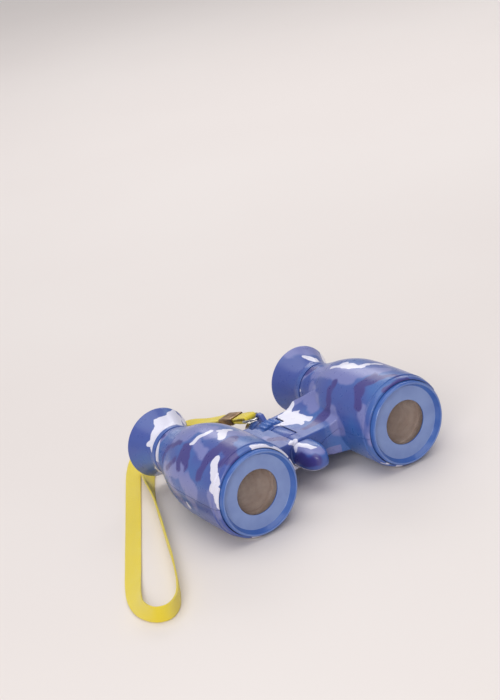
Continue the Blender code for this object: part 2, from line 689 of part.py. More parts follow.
def clear_scene():
    for obj in list(bpy.data.objects):
        bpy.data.objects.remove(obj)
    for name in ("toy_binoculars", "guides"):
        bpy.context.scene.collection.children.link(bpy.data.collections.new(name))
    bpy.data.collections["guides"].hide_render = True


def main():
    clear_scene()
    for side in (LEFT, RIGHT):
        shells(side)
        shell_screws(side)
        objective(side)
        eyepiece(side)
        focus_arm(side)
    hinge_and_nose()
    focus_drive()
    clip()
    lanyard()


main()
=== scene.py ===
import math

import bmesh
import bpy
import numpy as np
from mathutils import Matrix, Vector, noise


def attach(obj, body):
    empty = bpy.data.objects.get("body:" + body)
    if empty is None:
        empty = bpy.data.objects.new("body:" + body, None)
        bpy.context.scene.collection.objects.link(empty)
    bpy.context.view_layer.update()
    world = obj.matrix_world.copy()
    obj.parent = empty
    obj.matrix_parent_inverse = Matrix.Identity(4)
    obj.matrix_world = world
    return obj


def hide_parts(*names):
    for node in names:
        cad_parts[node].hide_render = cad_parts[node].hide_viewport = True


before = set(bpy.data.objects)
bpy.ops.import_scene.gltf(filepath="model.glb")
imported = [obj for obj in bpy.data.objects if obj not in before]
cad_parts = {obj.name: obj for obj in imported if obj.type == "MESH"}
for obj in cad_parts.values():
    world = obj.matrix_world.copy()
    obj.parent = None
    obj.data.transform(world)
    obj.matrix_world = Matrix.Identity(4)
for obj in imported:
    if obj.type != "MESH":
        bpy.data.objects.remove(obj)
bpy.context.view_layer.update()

SCENE = bpy.context.scene
MM = 0.001

# Sizes shared with the CAD model. Depths run back from the front rims; profiles are (radius, depth)
# in millimetres.
LENGTH = 77 * MM
AXIS_X = 36.5 * MM
AXIS_Z = 18.7 * MM
HINGE_Z = 14.2 * MM
FRONT_Y = -LENGTH / 2
GAP = 0.3 * MM
BARREL_OUTSIDE = [
    (18.5, 2.2), (19.1, 5), (19.3, 12), (19.2, 24), (18.85, 33), (18.0, 39),
    (16.3, 45), (14.1, 50.5), (12.2, 55.5), (10.9, 59.5), (10.5, 62),
]
BARREL_INSIDE = [
    (17.8, 0), (17.8, 22), (17.2, 33), (16.2, 39), (14.5, 45), (12.4, 50.5), (10.5, 55.5),
    (8.9, 59), (8.9, 64),
]
KNUCKLE_RADIUS = 6.2 * MM
KNUCKLE_ROOM = KNUCKLE_RADIUS + 0.35 * MM
WING_THICKNESS = 12.1 * MM
WING_ROOT = 8.2 * MM
BRIDGE_FRONT, BRIDGE_BACK = 24 * MM, 51.5 * MM
LUG_FRONT, LUG_BACK = 30.3 * MM, 41.7 * MM
WHEEL_SLOT = (43.8 * MM, 49.4 * MM)
WHEEL_RADIUS = 7.7 * MM
PIN_RADIUS = 2.7 * MM
SHAFT_RADIUS = 1.7 * MM
FOLD_ROOM = math.radians(46)  # the right half is cut clear this far, past its joint's limit
SCREW_PLACES = [(14 * MM, 31 * MM), (14 * MM, 45 * MM)]
RIBBON_WIDTH = 6.5 * MM
RIBBON_THICKNESS = 0.8 * MM
CLIP_START = Vector((0, 53.6 * MM + FRONT_Y, AXIS_Z + 3.0 * MM))
CLIP_YAW, CLIP_PITCH = math.radians(16), math.radians(-12)
TAB_SPAN = (4.6 * MM, 12.8 * MM)
WIRE_REACH = TAB_SPAN[0] + 1.6 * MM
CRIMP_SPAN = (13.1 * MM, 20.6 * MM)
RING_BACK, RING_RECESS = 3.0 * MM, 2.3 * MM
WINDOW_CROWN, WINDOW_EDGE = 1.3 * MM, 1.6 * MM
WINDOW_FRONT = RING_BACK + WINDOW_CROWN + GAP

THROUGH = 0.2  # metres, longer than the whole object
WELD, SLIVER = 0.005 * MM, 0.006 * MM
CRUMB_FACES = 12

LEFT, RIGHT = 1, -1
SIDE_NAME = {LEFT: "left", RIGHT: "right"}
FRONT_PLANE = Matrix.Rotation(math.radians(90), 4, "X")
SIDE_PLANE = Matrix(((0, 0, 1, 0), (1, 0, 0, 0), (0, 1, 0, 0), (0, 0, 0, 1)))
SCRATCH = bpy.data.collections.new("scratch")
SCENE.collection.children.link(SCRATCH)


# ---------------------------------------- camera

CAMERA_AZIMUTH, CAMERA_ELEVATION, CAMERA_ROLL = -29.79, 22.006, -11.195
CAMERA_DISTANCE = 766.6 * MM
CAMERA_ASIDE = Vector((-33.97, 42.41)) * MM  # of its axis from the middle of the front rims
CAMERA_LENS = 100.4


def camera():
    a, e, r = (math.radians(v) for v in (CAMERA_AZIMUTH, CAMERA_ELEVATION, CAMERA_ROLL))
    back = Vector((math.sin(a) * math.cos(e), -math.cos(a) * math.cos(e), math.sin(e)))
    right = Vector((math.cos(a), math.sin(a), 0))
    up = back.cross(right)
    right, up = right * math.cos(r) + up * math.sin(r), up * math.cos(r) - right * math.sin(r)
    made = bpy.data.objects.new("camera", bpy.data.cameras.new("camera"))
    made.data.lens = CAMERA_LENS
    made.data.sensor_width = 36
    made.data.clip_start, made.data.clip_end = 0.05, 20
    place = Vector((0, FRONT_Y, AXIS_Z)) + back * CAMERA_DISTANCE
    place += right * CAMERA_ASIDE.x + up * CAMERA_ASIDE.y
    turn = Matrix((right, up, back)).transposed().to_4x4()
    made.matrix_world = Matrix.Translation(place) @ turn
    SCENE.collection.objects.link(made)
    SCENE.camera = made


camera()


# ---------------------------------------- mesh tools


def y_at(depth):
    return FRONT_Y + depth


def object_of(name, bm):
    mesh = bpy.data.meshes.new(name)
    bm.to_mesh(mesh)
    bm.free()
    obj = bpy.data.objects.new(name, mesh)
    SCRATCH.objects.link(obj)
    return obj


def mesh_object(name, points, faces, uvs=()):
    """A mesh that is welded and faces outwards. uvs holds a place in the ribbon's weave a point."""
    mesh = bpy.data.meshes.new(name)
    mesh.from_pydata([tuple(p) for p in points], [], faces)
    if uvs:
        layer = mesh.uv_layers.new(name="ribbon")
        for loop in mesh.loops:
            layer.data[loop.index].uv = uvs[loop.vertex_index]
    bm = bmesh.new()
    bm.from_mesh(mesh)
    bpy.data.meshes.remove(mesh)
    bmesh.ops.remove_doubles(bm, verts=bm.verts, dist=WELD)
    bmesh.ops.recalc_face_normals(bm, faces=bm.faces)
    return object_of(name, bm)


def smooth_curve(points, step):
    """Points at about this spacing along a rounded curve through points."""
    points = [np.array(p, float) for p in points]
    ends = [2 * points[0] - points[1], *points, 2 * points[-1] - points[-2]]
    made = []
    for a, b, c, d in zip(ends, ends[1:], ends[2:], ends[3:]):
        count = max(1, round(float(np.linalg.norm(c - b)) / step))
        for i in range(count):
            t = i / count
            made.append(0.5 * (2 * b + (c - a) * t + (2 * a - 5 * b + 4 * c - d) * t * t
                               + (3 * b - a - 3 * c + d) * t**3))
    return [tuple(p) for p in [*made, points[-1]]]


def split_edges(points, step):
    """The same outline, with points added so that none are further apart than step."""
    made = []
    for a, b in zip(points, points[1:]):
        count = max(1, math.ceil(math.dist(a, b) / step))
        made += [tuple(p + (q - p) * i / count for p, q in zip(a, b)) for i in range(count)]
    return [*made, points[-1]]


def rounded(points, radius, steps=4):
    """A closed outline with each corner replaced by an arc of up to this radius."""
    made = []
    for before, corner, after in zip([points[-1], *points], points, [*points[1:], points[0]]):
        before, corner, after = Vector(before), Vector(corner), Vector(after)
        a, b = before - corner, after - corner
        reach = min(radius, a.length / 2.2, b.length / 2.2)
        start, end = corner + a.normalized() * reach, corner + b.normalized() * reach
        for i in range(steps + 1):
            t = i / steps
            p = start * (1 - t) ** 2 + corner * 2 * t * (1 - t) + end * t * t
            made.append((p.x, p.y))
    return made


def turned(name, profile, x, z=AXIS_Z, segments=96, closed=True):
    """A solid turned about a line along Y. profile is (radius, depth) round its section, in metres."""
    count = len(profile)
    points, faces = [], []
    for s in range(segments):
        turn = 2 * math.pi * s / segments
        for radius, depth in profile:
            points.append((x + radius * math.cos(turn), y_at(depth), z + radius * math.sin(turn)))
    for s in range(segments):
        a, b = s * count, (s + 1) % segments * count
        for i in range(count if closed else count - 1):
            j = (i + 1) % count
            faces.append((a + i, a + j, b + j, b + i))
    return mesh_object(name, points, faces)


def plug(name, profile, x, z=AXIS_Z, segments=96):
    """A turned solid whose profile starts and ends on the axis."""
    return turned(name, profile, x, z, segments, closed=False)


def rod(radius, front, back, segments=64):
    """A round bar on the hinge's axis."""
    return plug("rod", [(0, front), (radius, front), (radius, back), (0, back)], 0, HINGE_Z, segments)


def prism(name, outline, thickness, matrix):
    """A flat outline in the XY plane of matrix, thickened equally both ways."""
    bm = bmesh.new()
    low = [bm.verts.new(matrix @ Vector((u, v, -thickness / 2))) for u, v in outline]
    high = [bm.verts.new(matrix @ Vector((u, v, thickness / 2))) for u, v in outline]
    bm.faces.new(low[::-1])
    bm.faces.new(high)
    for i in range(len(outline)):
        j = (i + 1) % len(outline)
        bm.faces.new((low[i], low[j], high[j], high[i]))
    bmesh.ops.recalc_face_normals(bm, faces=bm.faces)
    return object_of(name, bm)


def box(low, high):
    bm = bmesh.new()
    bmesh.ops.create_cube(bm, size=1)
    low, high = Vector(low), Vector(high)
    bmesh.ops.scale(bm, vec=high - low, verts=bm.verts)
    bmesh.ops.translate(bm, vec=(low + high) / 2, verts=bm.verts)
    return object_of("box", bm)


def upright(radius, x, y, low, high):
    bm = bmesh.new()
    bmesh.ops.create_cone(
        bm, cap_ends=True, segments=48, radius1=radius, radius2=radius, depth=high - low
    )
    bmesh.ops.translate(bm, vec=(x, y, (low + high) / 2), verts=bm.verts)
    return object_of("upright", bm)


def applied(obj):
    """obj, with its modifiers made real."""
    graph = bpy.context.evaluated_depsgraph_get()
    mesh = bpy.data.meshes.new_from_object(obj.evaluated_get(graph))
    old = obj.data
    obj.modifiers.clear()
    obj.data = mesh
    bpy.data.meshes.remove(old)
    return obj


def combine(base, others, operation):
    for other in others:
        boolean = base.modifiers.new(operation, "BOOLEAN")
        boolean.operation = operation
        boolean.solver = "MANIFOLD"
        boolean.object = other
    bpy.context.view_layer.update()
    applied(base)
    for other in others:
        bpy.data.objects.remove(other)
    return base


def tidied(obj):
    """obj without most of the slivers and crumbs that solid cuts leave behind."""
    bm = bmesh.new()
    bm.from_mesh(obj.data)
    bmesh.ops.remove_doubles(bm, verts=bm.verts, dist=SLIVER)
    bmesh.ops.dissolve_degenerate(bm, edges=bm.edges, dist=SLIVER)
    unvisited, crumbs = set(bm.faces), []
    while unvisited:
        found = [unvisited.pop()]
        for face in found:
            near = {other for edge in face.edges for other in edge.link_faces} & unvisited
            unvisited -= near
            found += near
        if len(found) < CRUMB_FACES:
            crumbs += found
    bmesh.ops.delete(bm, geom=crumbs, context="FACES")
    bm.to_mesh(obj.data)
    bm.free()
    return obj


def cut(base, *others):
    return combine(base, others, "DIFFERENCE")


def join(base, *others):
    return combine(base, others, "UNION")


def crop(base, *others):
    return combine(base, others, "INTERSECT")


def remeshed(obj, voxel, rounds):
    """obj rebuilt on an even grid, with its edges rounded by smoothing."""
    remesh = obj.modifiers.new("Remesh", "REMESH")
    remesh.mode = "VOXEL"
    remesh.voxel_size = voxel
    smooth = obj.modifiers.new("Smooth", "SMOOTH")
    smooth.iterations = rounds
    return applied(obj)


def bevelled(obj, width, segments=3, angle=40):
    bevel = obj.modifiers.new("Bevel", "BEVEL")
    bevel.width = width
    bevel.segments = segments
    bevel.limit_method = "ANGLE"
    bevel.angle_limit = math.radians(angle)
    return applied(obj)


def arc(centre, radius, start_deg, end_deg, steps):
    turns = [math.radians(start_deg + (end_deg - start_deg) * i / steps) for i in range(steps + 1)]
    return [(centre[0] + radius * math.cos(t), centre[1] + radius * math.sin(t)) for t in turns]


def put_in_scene(obj):
    SCRATCH.objects.unlink(obj)
    SCENE.collection.objects.link(obj)


def shown(obj, name, mat, body, replaces, crease):
    """Makes obj a piece of the object: named, painted, smooth, and riding on its body."""
    obj.name = name
    obj.data.name = name
    put_in_scene(obj)
    obj.data.materials.clear()
    obj.data.materials.append(mat)
    obj.data.shade_smooth()
    obj.data.set_sharp_from_angle(angle=math.radians(crease))
    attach(obj, body)
    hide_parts(*replaces)
    return obj


# ---------------------------------------- camouflage print, with painted light and shade among its patches

# Each patch is a rounded stroke from one point to another, in millimetres, with a radius at each
# end: x, y, z, x, y, z, radius, radius.
# White print patches, with one painted highlight line marked below.
WHITE_PRINT_AND_PAINTED_HIGHLIGHT = [
    (-27.7, 35.7, 28.9, -34.5, 28.8, 29, 1.73, 1.88), (-38, 32, 30.2, -30.7, 29.7, 27.7, 1.34, 1.57),
    (-37.6, 28, 28.8, -45.7, 25.4, 23.6, 2.36, 1.88), (-29, 30.5, 26.8, -29.5, 32.7, 28.4, 0.79, 0.79),
    (-45.4, -8.7, 35.3, -41.2, -9, 37, 0.47, 0.94), (-41.2, -9, 37, -37, -10.2, 37.7, 0.94, 0.55),
    (-35.1, -13, 37.7, -31.3, -14.5, 37.1, 0.79, 0.94), (-33.3, -13.8, 37.6, -38.2, -19.1, 37.8, 1.1, 0.94),
    (-46.8, -27.8, 34.9, -50.1, -30, 32.2, 1.1, 1.57), (-50.1, -30.3, 32.3, -52.4, -33.7, 29.2, 1.41, 1.73),
    (-53.7, -33.1, 27, -53.7, -35.9, 25.7, 1.73, 1.88),
    (-53.6, -36.3, 25.4, -53.8, -36.5, 20.3, 1.88, 0.94), (-33.8, -35.8, 37, -28.9, -36.1, 35, 0.94, 0.79),
    # painted highlight: the first stroke on the next line, thinning round the near front rim towards the
    # nose, stands for a thin line of light along the rim
    (-28.9, -36.1, 35, -20.8, -36.3, 27.9, 0.79, 0.47), (-46.4, 25.2, 15.4, -41.9, 31, 8.9, 0.63, 0.63),
    (-6, -16, 19.9, -2.4, -13.6, 19.9, 0.63, 0.79), (-2.9, -14.9, 19.5, -4.9, -16.5, 17.8, 0.94, 0.63),
    (-3.2, -14.5, 19.2, -0.5, -22.9, 19.8, 0.94, 0.94), (15.5, 13.5, 21.7, 8.7, 9.2, 20.2, 1.1, 2.04),
    (8.7, 9.2, 20.2, 11.3, 4.8, 20.4, 2.04, 2.04), (11.3, 4.8, 20.4, 12.6, -3, 20.6, 2.04, 0.94),
    (1.1, 5.6, 20.7, 7.6, 0.4, 20.2, 0.79, 1.26), (7.6, 0.4, 20.2, 9, -2.7, 20.3, 1.26, 0.79),
    (37.8, 32.5, 30.5, 40.1, 27.8, 28.2, 0.63, 1.26), (40.1, 27.8, 28.2, 41.6, 29.5, 29.5, 1.26, 0.9),
    (31.2, 2.2, 35.3, 33.9, -7.9, 37.4, 0.63, 1.26), (33.1, -1.8, 36.7, 34.2, -3.3, 37, 0.79, 0.79),
    (33.9, -7.9, 37.4, 35.9, -13.5, 37.8, 0.94, 0.63), (36.3, -11.7, 37.8, 42.6, -15.7, 36.8, 0.55, 0.71),
    (22.7, -34.9, 6, 25.5, -36.3, 4.7, 0.39, 0.39), (-55, -12.3, 14.2, -54.5, -12.9, 12.4, 0.39, 0.39),
    (-44, 27, 25.4, -41.1, 28.7, 28, 1.4, 1.3), (-41.1, 28.7, 28, -36, 31.4, 30.1, 1.3, 1.5),
    (-36, 31.4, 30.1, -26.7, 34.8, 27.3, 1.5, 1.3), (-26.7, 34.8, 27.3, -29.3, 29.1, 26.4, 1.2, 0.9),
    (-44.6, 26.9, 24.7, -45.6, 28.8, 23.8, 0.9, 0.6), (10.4, 8, 20.3, 12.4, 7.2, 20.9, 1.6, 1.4),
    (5.2, 6.6, 20.4, 10.6, -0.6, 20.4, 1.3, 1.5),
]
# Dark violet print patches, with some strokes of painted shade marked below.
DARK_PRINT_AND_PAINTED_SHADE = [
    (-36.7, -25.5, 38, -44.8, -24.3, 36, 0.79, 1.57), (-44.8, -24.3, 36, -49.2, -22.9, 33.1, 1.73, 1.41),
    (-49.2, -22.9, 33.1, -53.4, -22, 27.7, 1.41, 0.63), (-40.5, -26.9, 37.5, -44, -35.8, 35.7, 2.04, 1.73),
    (-43, -35.8, 36.1, -45.8, -34.1, 35.1, 1.1, 0.79), (-47.1, -6.5, 34.3, -50.5, -10, 31.5, 1.57, 1.88),
    (-50.5, -10, 31.5, -52.6, -12.4, 28.9, 1.57, 0.47), (-46.2, -0.8, 34, -48, 9.8, 28.1, 0.79, 1.1),
    (-48, 9.8, 28.1, -49.6, 11.1, 24.8, 0.94, 0.79), (33.7, -24.5, 37.7, 26.3, -23, 35, 0.94, 1.73),
    (26.3, -23, 35, 20.4, -28.3, 29.3, 1.57, 0.63), (32.3, -24.9, 37.5, 40, -36.3, 35.6, 0.79, 1.1),
    # painted shade: the second stroke on the next line and both strokes on the line after run from the far
    # barrel's top across the hollow of its wing to the hinge
    (38.1, -36, 36, 29.5, -36.1, 35.9, 0.94, 0.63), (24.6, -7.9, 33.3, 19.4, -9.2, 26.8, 0.94, 0.63),
    (18.9, -9.4, 25.8, 15.1, -7.9, 21.5, 1.1, 1.73), (15.1, -7.9, 21.5, 6.4, -7.7, 20.3, 1.57, 0.63),
    (-7.9, -4.1, 20.3, -4.5, -9, 20.3, 1.1, 0.94), (-6.1, -17.8, 14.2, -3.2, -27.9, 15.1, 2.04, 1.73),
    (-34.9, -23.5, 37.8, -42.7, -24.9, 36.9, 1.2, 1.9), (-42.7, -24.9, 36.9, -53, -23.1, 28.5, 1.8, 0.7),
    (-45.6, -32.5, 35.4, -47.9, -31.9, 34, 1.3, 0.8), (-49.2, -6.2, 32.6, -53.2, -7.5, 27.4, 1.3, 0.7),
    (-51.8, -3.3, 29.2, -52.8, 3.3, 23.9, 0.8, 0.6), (25.6, -25.4, 34.6, 20.9, -28.2, 29.8, 1.3, 1.0),
    # painted shade: the second stroke on the next line lies in the same hollow of the far wing
    (27.6, -24.2, 35.7, 33.9, -29.8, 37.6, 0.8, 0.6), (22.7, -6.7, 31.6, 19.7, -8.5, 27.2, 0.8, 0.6),
]
# Pale blue strokes, partly print and partly painted light: they lie mostly along the tops of the barrels and
# wings, the near barrel's outer side and the nose's upper left, the faces turned to the lamps.
PALE_PRINT_AND_PAINTED_LIGHT = [
    (-39.9, 6, 34.8, -35.8, -8.2, 37.6, 2.04, 2.36), (-38.4, -12.2, 37.6, -29.6, -21.5, 36.6, 2.67, 2.04),
    (-29.6, -21.5, 36.6, -9.2, -1.9, 20.3, 2.04, 1.57), (-52.4, 5.6, 23.2, -53.3, -9.7, 27.4, 2.04, 2.36),
    (-54, -10.3, 26.1, -55.4, -18.9, 15.3, 1.41, 0.94), (-44.5, -9.3, 35.8, -47.3, -19, 34.6, 0.94, 1.1),
    (30.4, 13.3, 30.8, 29.2, -13.9, 36.4, 2.67, 3.46), (29.2, -13.9, 36.4, 39.3, -23.9, 37.7, 2.67, 1.57),
    (21.7, 10.6, 28.4, 18.2, 0, 23.5, 3.61, 2.36), (17.9, -11.7, 23.2, 17.3, -17.9, 17.9, 2.83, 2.04),
    (33.4, 37.6, 32.9, 44.9, 35.4, 29, 2.04, 2.04), (-4.5, -18.9, 18.3, 0.1, -26.4, 18.6, 1.26, 1.26),
    (20.4, -30.4, 29.1, 19.3, -36.2, 17.6, 1.57, 1.26), (21, 10.1, 27, 17.6, 13, 23, 1.88, 1.41),
    (-44.5, 5.6, 33.1, -42.5, -2.4, 36, 1.6, 1.9), (-54.3, -14.9, 25.7, -55.4, -20.2, 22, 1.6, 2.1),
    (-54.8, -32, 24.1, -54.6, -35, 16.8, 1.1, 1.3), (-54.5, -0.5, 19.8, -54.4, -10.1, 12.4, 1.1, 0.9),
    (28.2, -7.4, 35.6, 36, -22.7, 37.9, 1.9, 1.4),
]
PLACED_SIDE = (-0.46, -0.8, 0.38)  # the direction that the placed patches face
FAR = 9.0  # millimetres, stored where no patch is near
LAYERS = (  # name, strokes, noise level of the blotches, seed, how far the strokes grow
    ("white", WHITE_PRINT_AND_PAINTED_HIGHLIGHT, 0.27, 5, 0.55), ("dark", DARK_PRINT_AND_PAINTED_SHADE, 0.22, 6, 0.75), ("pale", PALE_PRINT_AND_PAINTED_LIGHT, 0.12, 7, 1.1),
)


def strokes(points, rows):
    """Distance in millimetres from each point to the nearest stroke's edge, negative inside it."""
    found = np.full(len(points), FAR)
    for row in rows:
        a, b = np.array(row[:3]), np.array(row[3:6])
        line = b - a
        t = np.clip((points - a) @ line / max(line @ line, 1e-6), 0, 1)
        reach = np.linalg.norm(points - a - t[:, None] * line, axis=1)
        found = np.minimum(found, reach - (row[6] + (row[7] - row[6]) * t))
    return found


def noise_at(points, scale, seed):
    shift = Vector((seed * 17.3, seed * 7.1, seed * 3.7))
    return np.array([noise.noise(Vector(p) * scale + shift) for p in points])


def unseen(points, normals):
    """1 on the sides that carry no placed patch, 0 elsewhere."""
    x, y, z = points.T
    taper = np.where(y < 25.5, np.clip((y - 4) / 10, 0, 0.6) * 18, 0)
    outward = np.stack([x - np.sign(x) * AXIS_X / MM, taper, z - AXIS_Z / MM], axis=1)
    outward /= np.linalg.norm(outward, axis=1)[:, None] + 1e-6
    away = -(outward @ np.array(PLACED_SIDE)) * 8 - 0.5
    bridge = np.where(np.abs(x) < 17, (12 - z) / 1.5, away)
    inside_cup = np.where((y > 27) & (normals[:, 1] > 0.3), 1, bridge)
    between = np.where((x < -18) & (x > -36) & (y < -4) & (y > -34), (27 - z) / 2, -1)
    return np.clip(np.maximum(inside_cup, between), 0, 1)


def of_vertices(obj, what):
    flat = np.empty(len(obj.data.vertices) * 3)
    obj.data.vertices.foreach_get(what, flat)
    return flat.reshape(-1, 3)


def patches_with_painted_light(obj):
    """Stores how far each point is from the white, dark and pale patches: print, together with strokes of
    painted light and shade.
    """
    points = of_vertices(obj, "co") / MM
    warp = np.stack([noise_at(points, 0.28, s) for s in (1, 2, 3)], axis=1)
    fine = noise_at(points, 0.9, 4)
    warped = points + warp * 1.1
    free = unseen(points, of_vertices(obj, "normal"))
    for name, rows, level, seed, grow in LAYERS:
        placed = strokes(warped, rows) - grow + fine * 0.15
        blotches = (level - noise_at(warped * np.array((1.25, 0.8, 1.0)), 0.085, seed)) * 16
        found = np.minimum(placed, blotches * free + FAR * (1 - free))
        layer = obj.data.attributes.new("patch_" + name, "FLOAT", "POINT")
        layer.data.foreach_set("value", np.clip(found, -FAR, FAR).astype(np.float32))


# ---------------------------------------- materials


def new_material(name):
    mat = bpy.data.materials.new(name)
    mat.use_nodes = True
    tree = mat.node_tree
    return mat, tree, tree.nodes["Principled BSDF"]


def node(tree, kind, **settings):
    made = tree.nodes.new("ShaderNode" + kind)
    for key, value in settings.items():
        setattr(made, key, value)
    return made


def feed(tree, socket, value):
    """Links value to socket where it is a socket itself, and sets it where it is plain."""
    if isinstance(value, bpy.types.NodeSocket):
        tree.links.new(value, socket)
    else:
        socket.default_value = value


def fill(tree, shader, **values):
    """Feeds the inputs of these names, where Base_Color stands for "Base Color"."""
    for key, value in values.items():
        feed(tree, shader.inputs[key.replace("_", " ")], value)


def calculated(tree, operation, *values):
    made = node(tree, "Math", operation=operation)
    for socket, value in zip(made.inputs, values):
        feed(tree, socket, value)
    return made.outputs[0]


def mix_colour(tree, factor, a, b):
    """A colour that goes from a to b as the factor socket goes from 0 to 1."""
    made = node(tree, "Mix", data_type="RGBA")
    tree.links.new(factor, made.inputs[0])
    for index, colour in ((6, a), (7, b)):
        feed(tree, made.inputs[index], (*colour, 1) if isinstance(colour, tuple) else colour)
    return made.outputs[2]


def scaled_noise(tree, scale, detail, roughness=0.5):
    place = node(tree, "TexCoord")
    made = node(tree, "TexNoise")
    fill(tree, made, Scale=scale, Detail=detail, Roughness=roughness, Vector=place.outputs["Object"])
    return made.outputs["Fac"]


def between(tree, value, low, high, to_low=0.0, to_high=1.0):
    made = node(tree, "MapRange", interpolation_type="SMOOTHSTEP")
    for socket, given in zip(made.inputs, (value, low, high, to_low, to_high)):
        feed(tree, socket, given)
    return made.outputs[0]


def clouds(tree, scale, detail, low=0.3, high=0.7, to_low=0.0, to_high=1.0):
    """Noise whose middle range, from low to high, is stretched to run from to_low to to_high."""
    return between(tree, scaled_noise(tree, scale, detail), low, high, to_low, to_high)


def bump(tree, shader, height, distance, strength):
    made = node(tree, "Bump")
    fill(tree, made, Strength=strength, Distance=distance, Height=height)
    fill(tree, shader, Normal=made.outputs[0])


def camouflage_and_painted_light_plastic():
    """Glossy blue plastic with patches in white, dark violet and pale blue, mostly print; among them are
    painted light and shade: pale blue on faces turned to the lamps, dark violet across the far wing's hollow
    and a white highlight line round the near front rim.
    """
    mat, tree, shader = new_material("camouflage_and_painted_light_plastic")
    broad = clouds(tree, 55, 2)
    colour = mix_colour(tree, broad, (0.062, 0.096, 0.355), (0.05, 0.138, 0.42))
    # the pale, dark and white layers each hold painted light or shade as well as print
    for name, patch, soft in (
        ("pale", (0.185, 0.205, 0.475), 0.8), ("dark", (0.055, 0.048, 0.235), 0.6),
        ("white", (0.74, 0.73, 0.86), 0.16),
    ):
        layer = node(tree, "Attribute", attribute_name="patch_" + name)
        ragged = calculated(
            tree, "ADD", layer.outputs["Fac"], clouds(tree, 900, 2, to_low=-0.07, to_high=0.07)
        )
        colour = mix_colour(tree, between(tree, ragged, -soft, soft, 1, 0), colour, patch)
    scuffs = between(tree, scaled_noise(tree, 420, 6, 0.65), 0.35, 0.75, 0.27, 0.42)
    fill(tree, shader, Base_Color=colour, Roughness=scuffs, Coat_Weight=0.25, Coat_Roughness=0.16)
    bump(tree, shader, scaled_noise(tree, 260, 2), 0.03 * MM, 0.4)
    return mat


def moulded(tree, shader, colour, roughness):
    """Paints shader as clear-coated plastic with the fine grain of its mould."""
    fill(tree, shader, Base_Color=colour, Roughness=roughness, Coat_Weight=0.2, Coat_Roughness=0.15)
    bump(tree, shader, scaled_noise(tree, 900, 3), 0.04 * MM, 0.6)


def plain_plastic():
    """Plain blue plastic with a faint mottle."""
    mat, tree, shader = new_material("plain_blue_plastic")
    mottle = clouds(tree, 160, 4)
    colour = mix_colour(tree, mottle, (0.055, 0.105, 0.37), (0.065, 0.135, 0.42))
    moulded(tree, shader, colour, clouds(tree, 500, 5, to_low=0.24, to_high=0.38))
    return mat


def ring_plastic():
    """Blue plastic, glossy on its lips and walls, and rougher and paler where its satin attribute marks the
    flats and the lip's front: the paler colour is a painted reflection on the flats and a painted highlight
    on the lip's front.
    """
    mat, tree, shader = new_material("ring_plastic")
    layer = node(tree, "Attribute", attribute_name="satin_with_painted_sheen")
    mottle = clouds(tree, 160, 4)
    glossy = mix_colour(tree, mottle, (0.045, 0.115, 0.40), (0.058, 0.145, 0.45))
    # painted reflection and highlight: this paler colour stands for the bright room mirrored in the flat and
    # for light caught on the lip's front
    satin_with_painted_sheen = mix_colour(tree, mottle, (0.175, 0.25, 0.52), (0.21, 0.295, 0.57))
    colour = mix_colour(tree, layer.outputs["Fac"], glossy, satin_with_painted_sheen)
    moulded(tree, shader, colour, between(tree, layer.outputs["Fac"], 0, 1, 0.22, 0.46))
    return mat


def brushed_metal(name, dark, light, roughness):
    mat, tree, shader = new_material(name)
    place = node(tree, "TexCoord")
    stretch = node(tree, "Mapping")
    fill(tree, stretch, Scale=(1800, 250, 1800), Vector=place.outputs["Object"])
    streaks = node(tree, "TexNoise")
    fill(tree, streaks, Scale=1, Vector=stretch.outputs[0])
    colour = mix_colour(tree, clouds(tree, 350, 5, 0.35, 0.7), dark, light)
    varied = between(tree, streaks.outputs["Fac"], 0.3, 0.7, roughness, roughness + 0.15)
    fill(tree, shader, Base_Color=colour, Metallic=1, Roughness=varied)
    bump(tree, shader, streaks.outputs["Fac"], 0.03 * MM, 0.6)
    return mat


def lens_glass():
    """Clear plastic with the faint milky veil of a moulded lens."""
    mat, tree, shader = new_material("lens_plastic")
    cloud = clouds(tree, 70, 3)
    veil = mix_colour(tree, cloud, (0.40, 0.28, 0.23), (0.62, 0.50, 0.44))
    haze = clouds(tree, 300, 4, 0.35, 0.75, 0.05, 0.14)
    fill(tree, shader, Base_Color=veil, Alpha=0.2, Specular_IOR_Level=0.9, Roughness=haze)
    bump(tree, shader, scaled_noise(tree, 120, 1), 0.02 * MM, 0.3)
    return mat


def tube_plastic():
    """The matt, mottled inside of the lens tubes."""
    mat, tree, shader = new_material("tube_plastic")
    mottle = between(tree, scaled_noise(tree, 210, 5, 0.6), 0.32, 0.68)
    colour = mix_colour(tree, mottle, (0.52, 0.37, 0.29), (0.78, 0.63, 0.54))
    fill(tree, shader, Base_Color=colour, Roughness=0.6)
    bump(tree, shader, scaled_noise(tree, 700, 4), 0.1 * MM, 0.6)
    return mat


def ribbon_fabric():
    """Woven polyester ribbon: UV u runs across it and v along it, both in metres."""
    mat, tree, shader = new_material("ribbon_fabric")
    place = node(tree, "UVMap", uv_map="ribbon")
    split = node(tree, "SeparateXYZ")
    tree.links.new(place.outputs[0], split.inputs[0])
    warp, weft = (
        calculated(tree, "SINE", calculated(tree, "MULTIPLY", socket, 2 * math.pi / pitch))
        for socket, pitch in ((split.outputs[0], 0.42 * MM), (split.outputs[1], 0.36 * MM))
    )
    rib = calculated(tree, "ADD", calculated(tree, "MULTIPLY", warp, weft), weft)
    level = between(tree, rib, -1.6, 1.6)
    colour = mix_colour(tree, level, (0.78, 0.59, 0.02), (0.98, 0.79, 0.04))
    worn = clouds(tree, 90, 4, 0.45, 0.75, 0, 0.35)
    faded = mix_colour(tree, worn, colour, (0.92, 0.78, 0.14))
    fill(tree, shader, Base_Color=faded, Roughness=0.62, Sheen_Weight=0.35, Sheen_Roughness=0.4)
    bump(tree, shader, rib, 0.06 * MM, 0.8)
    return mat


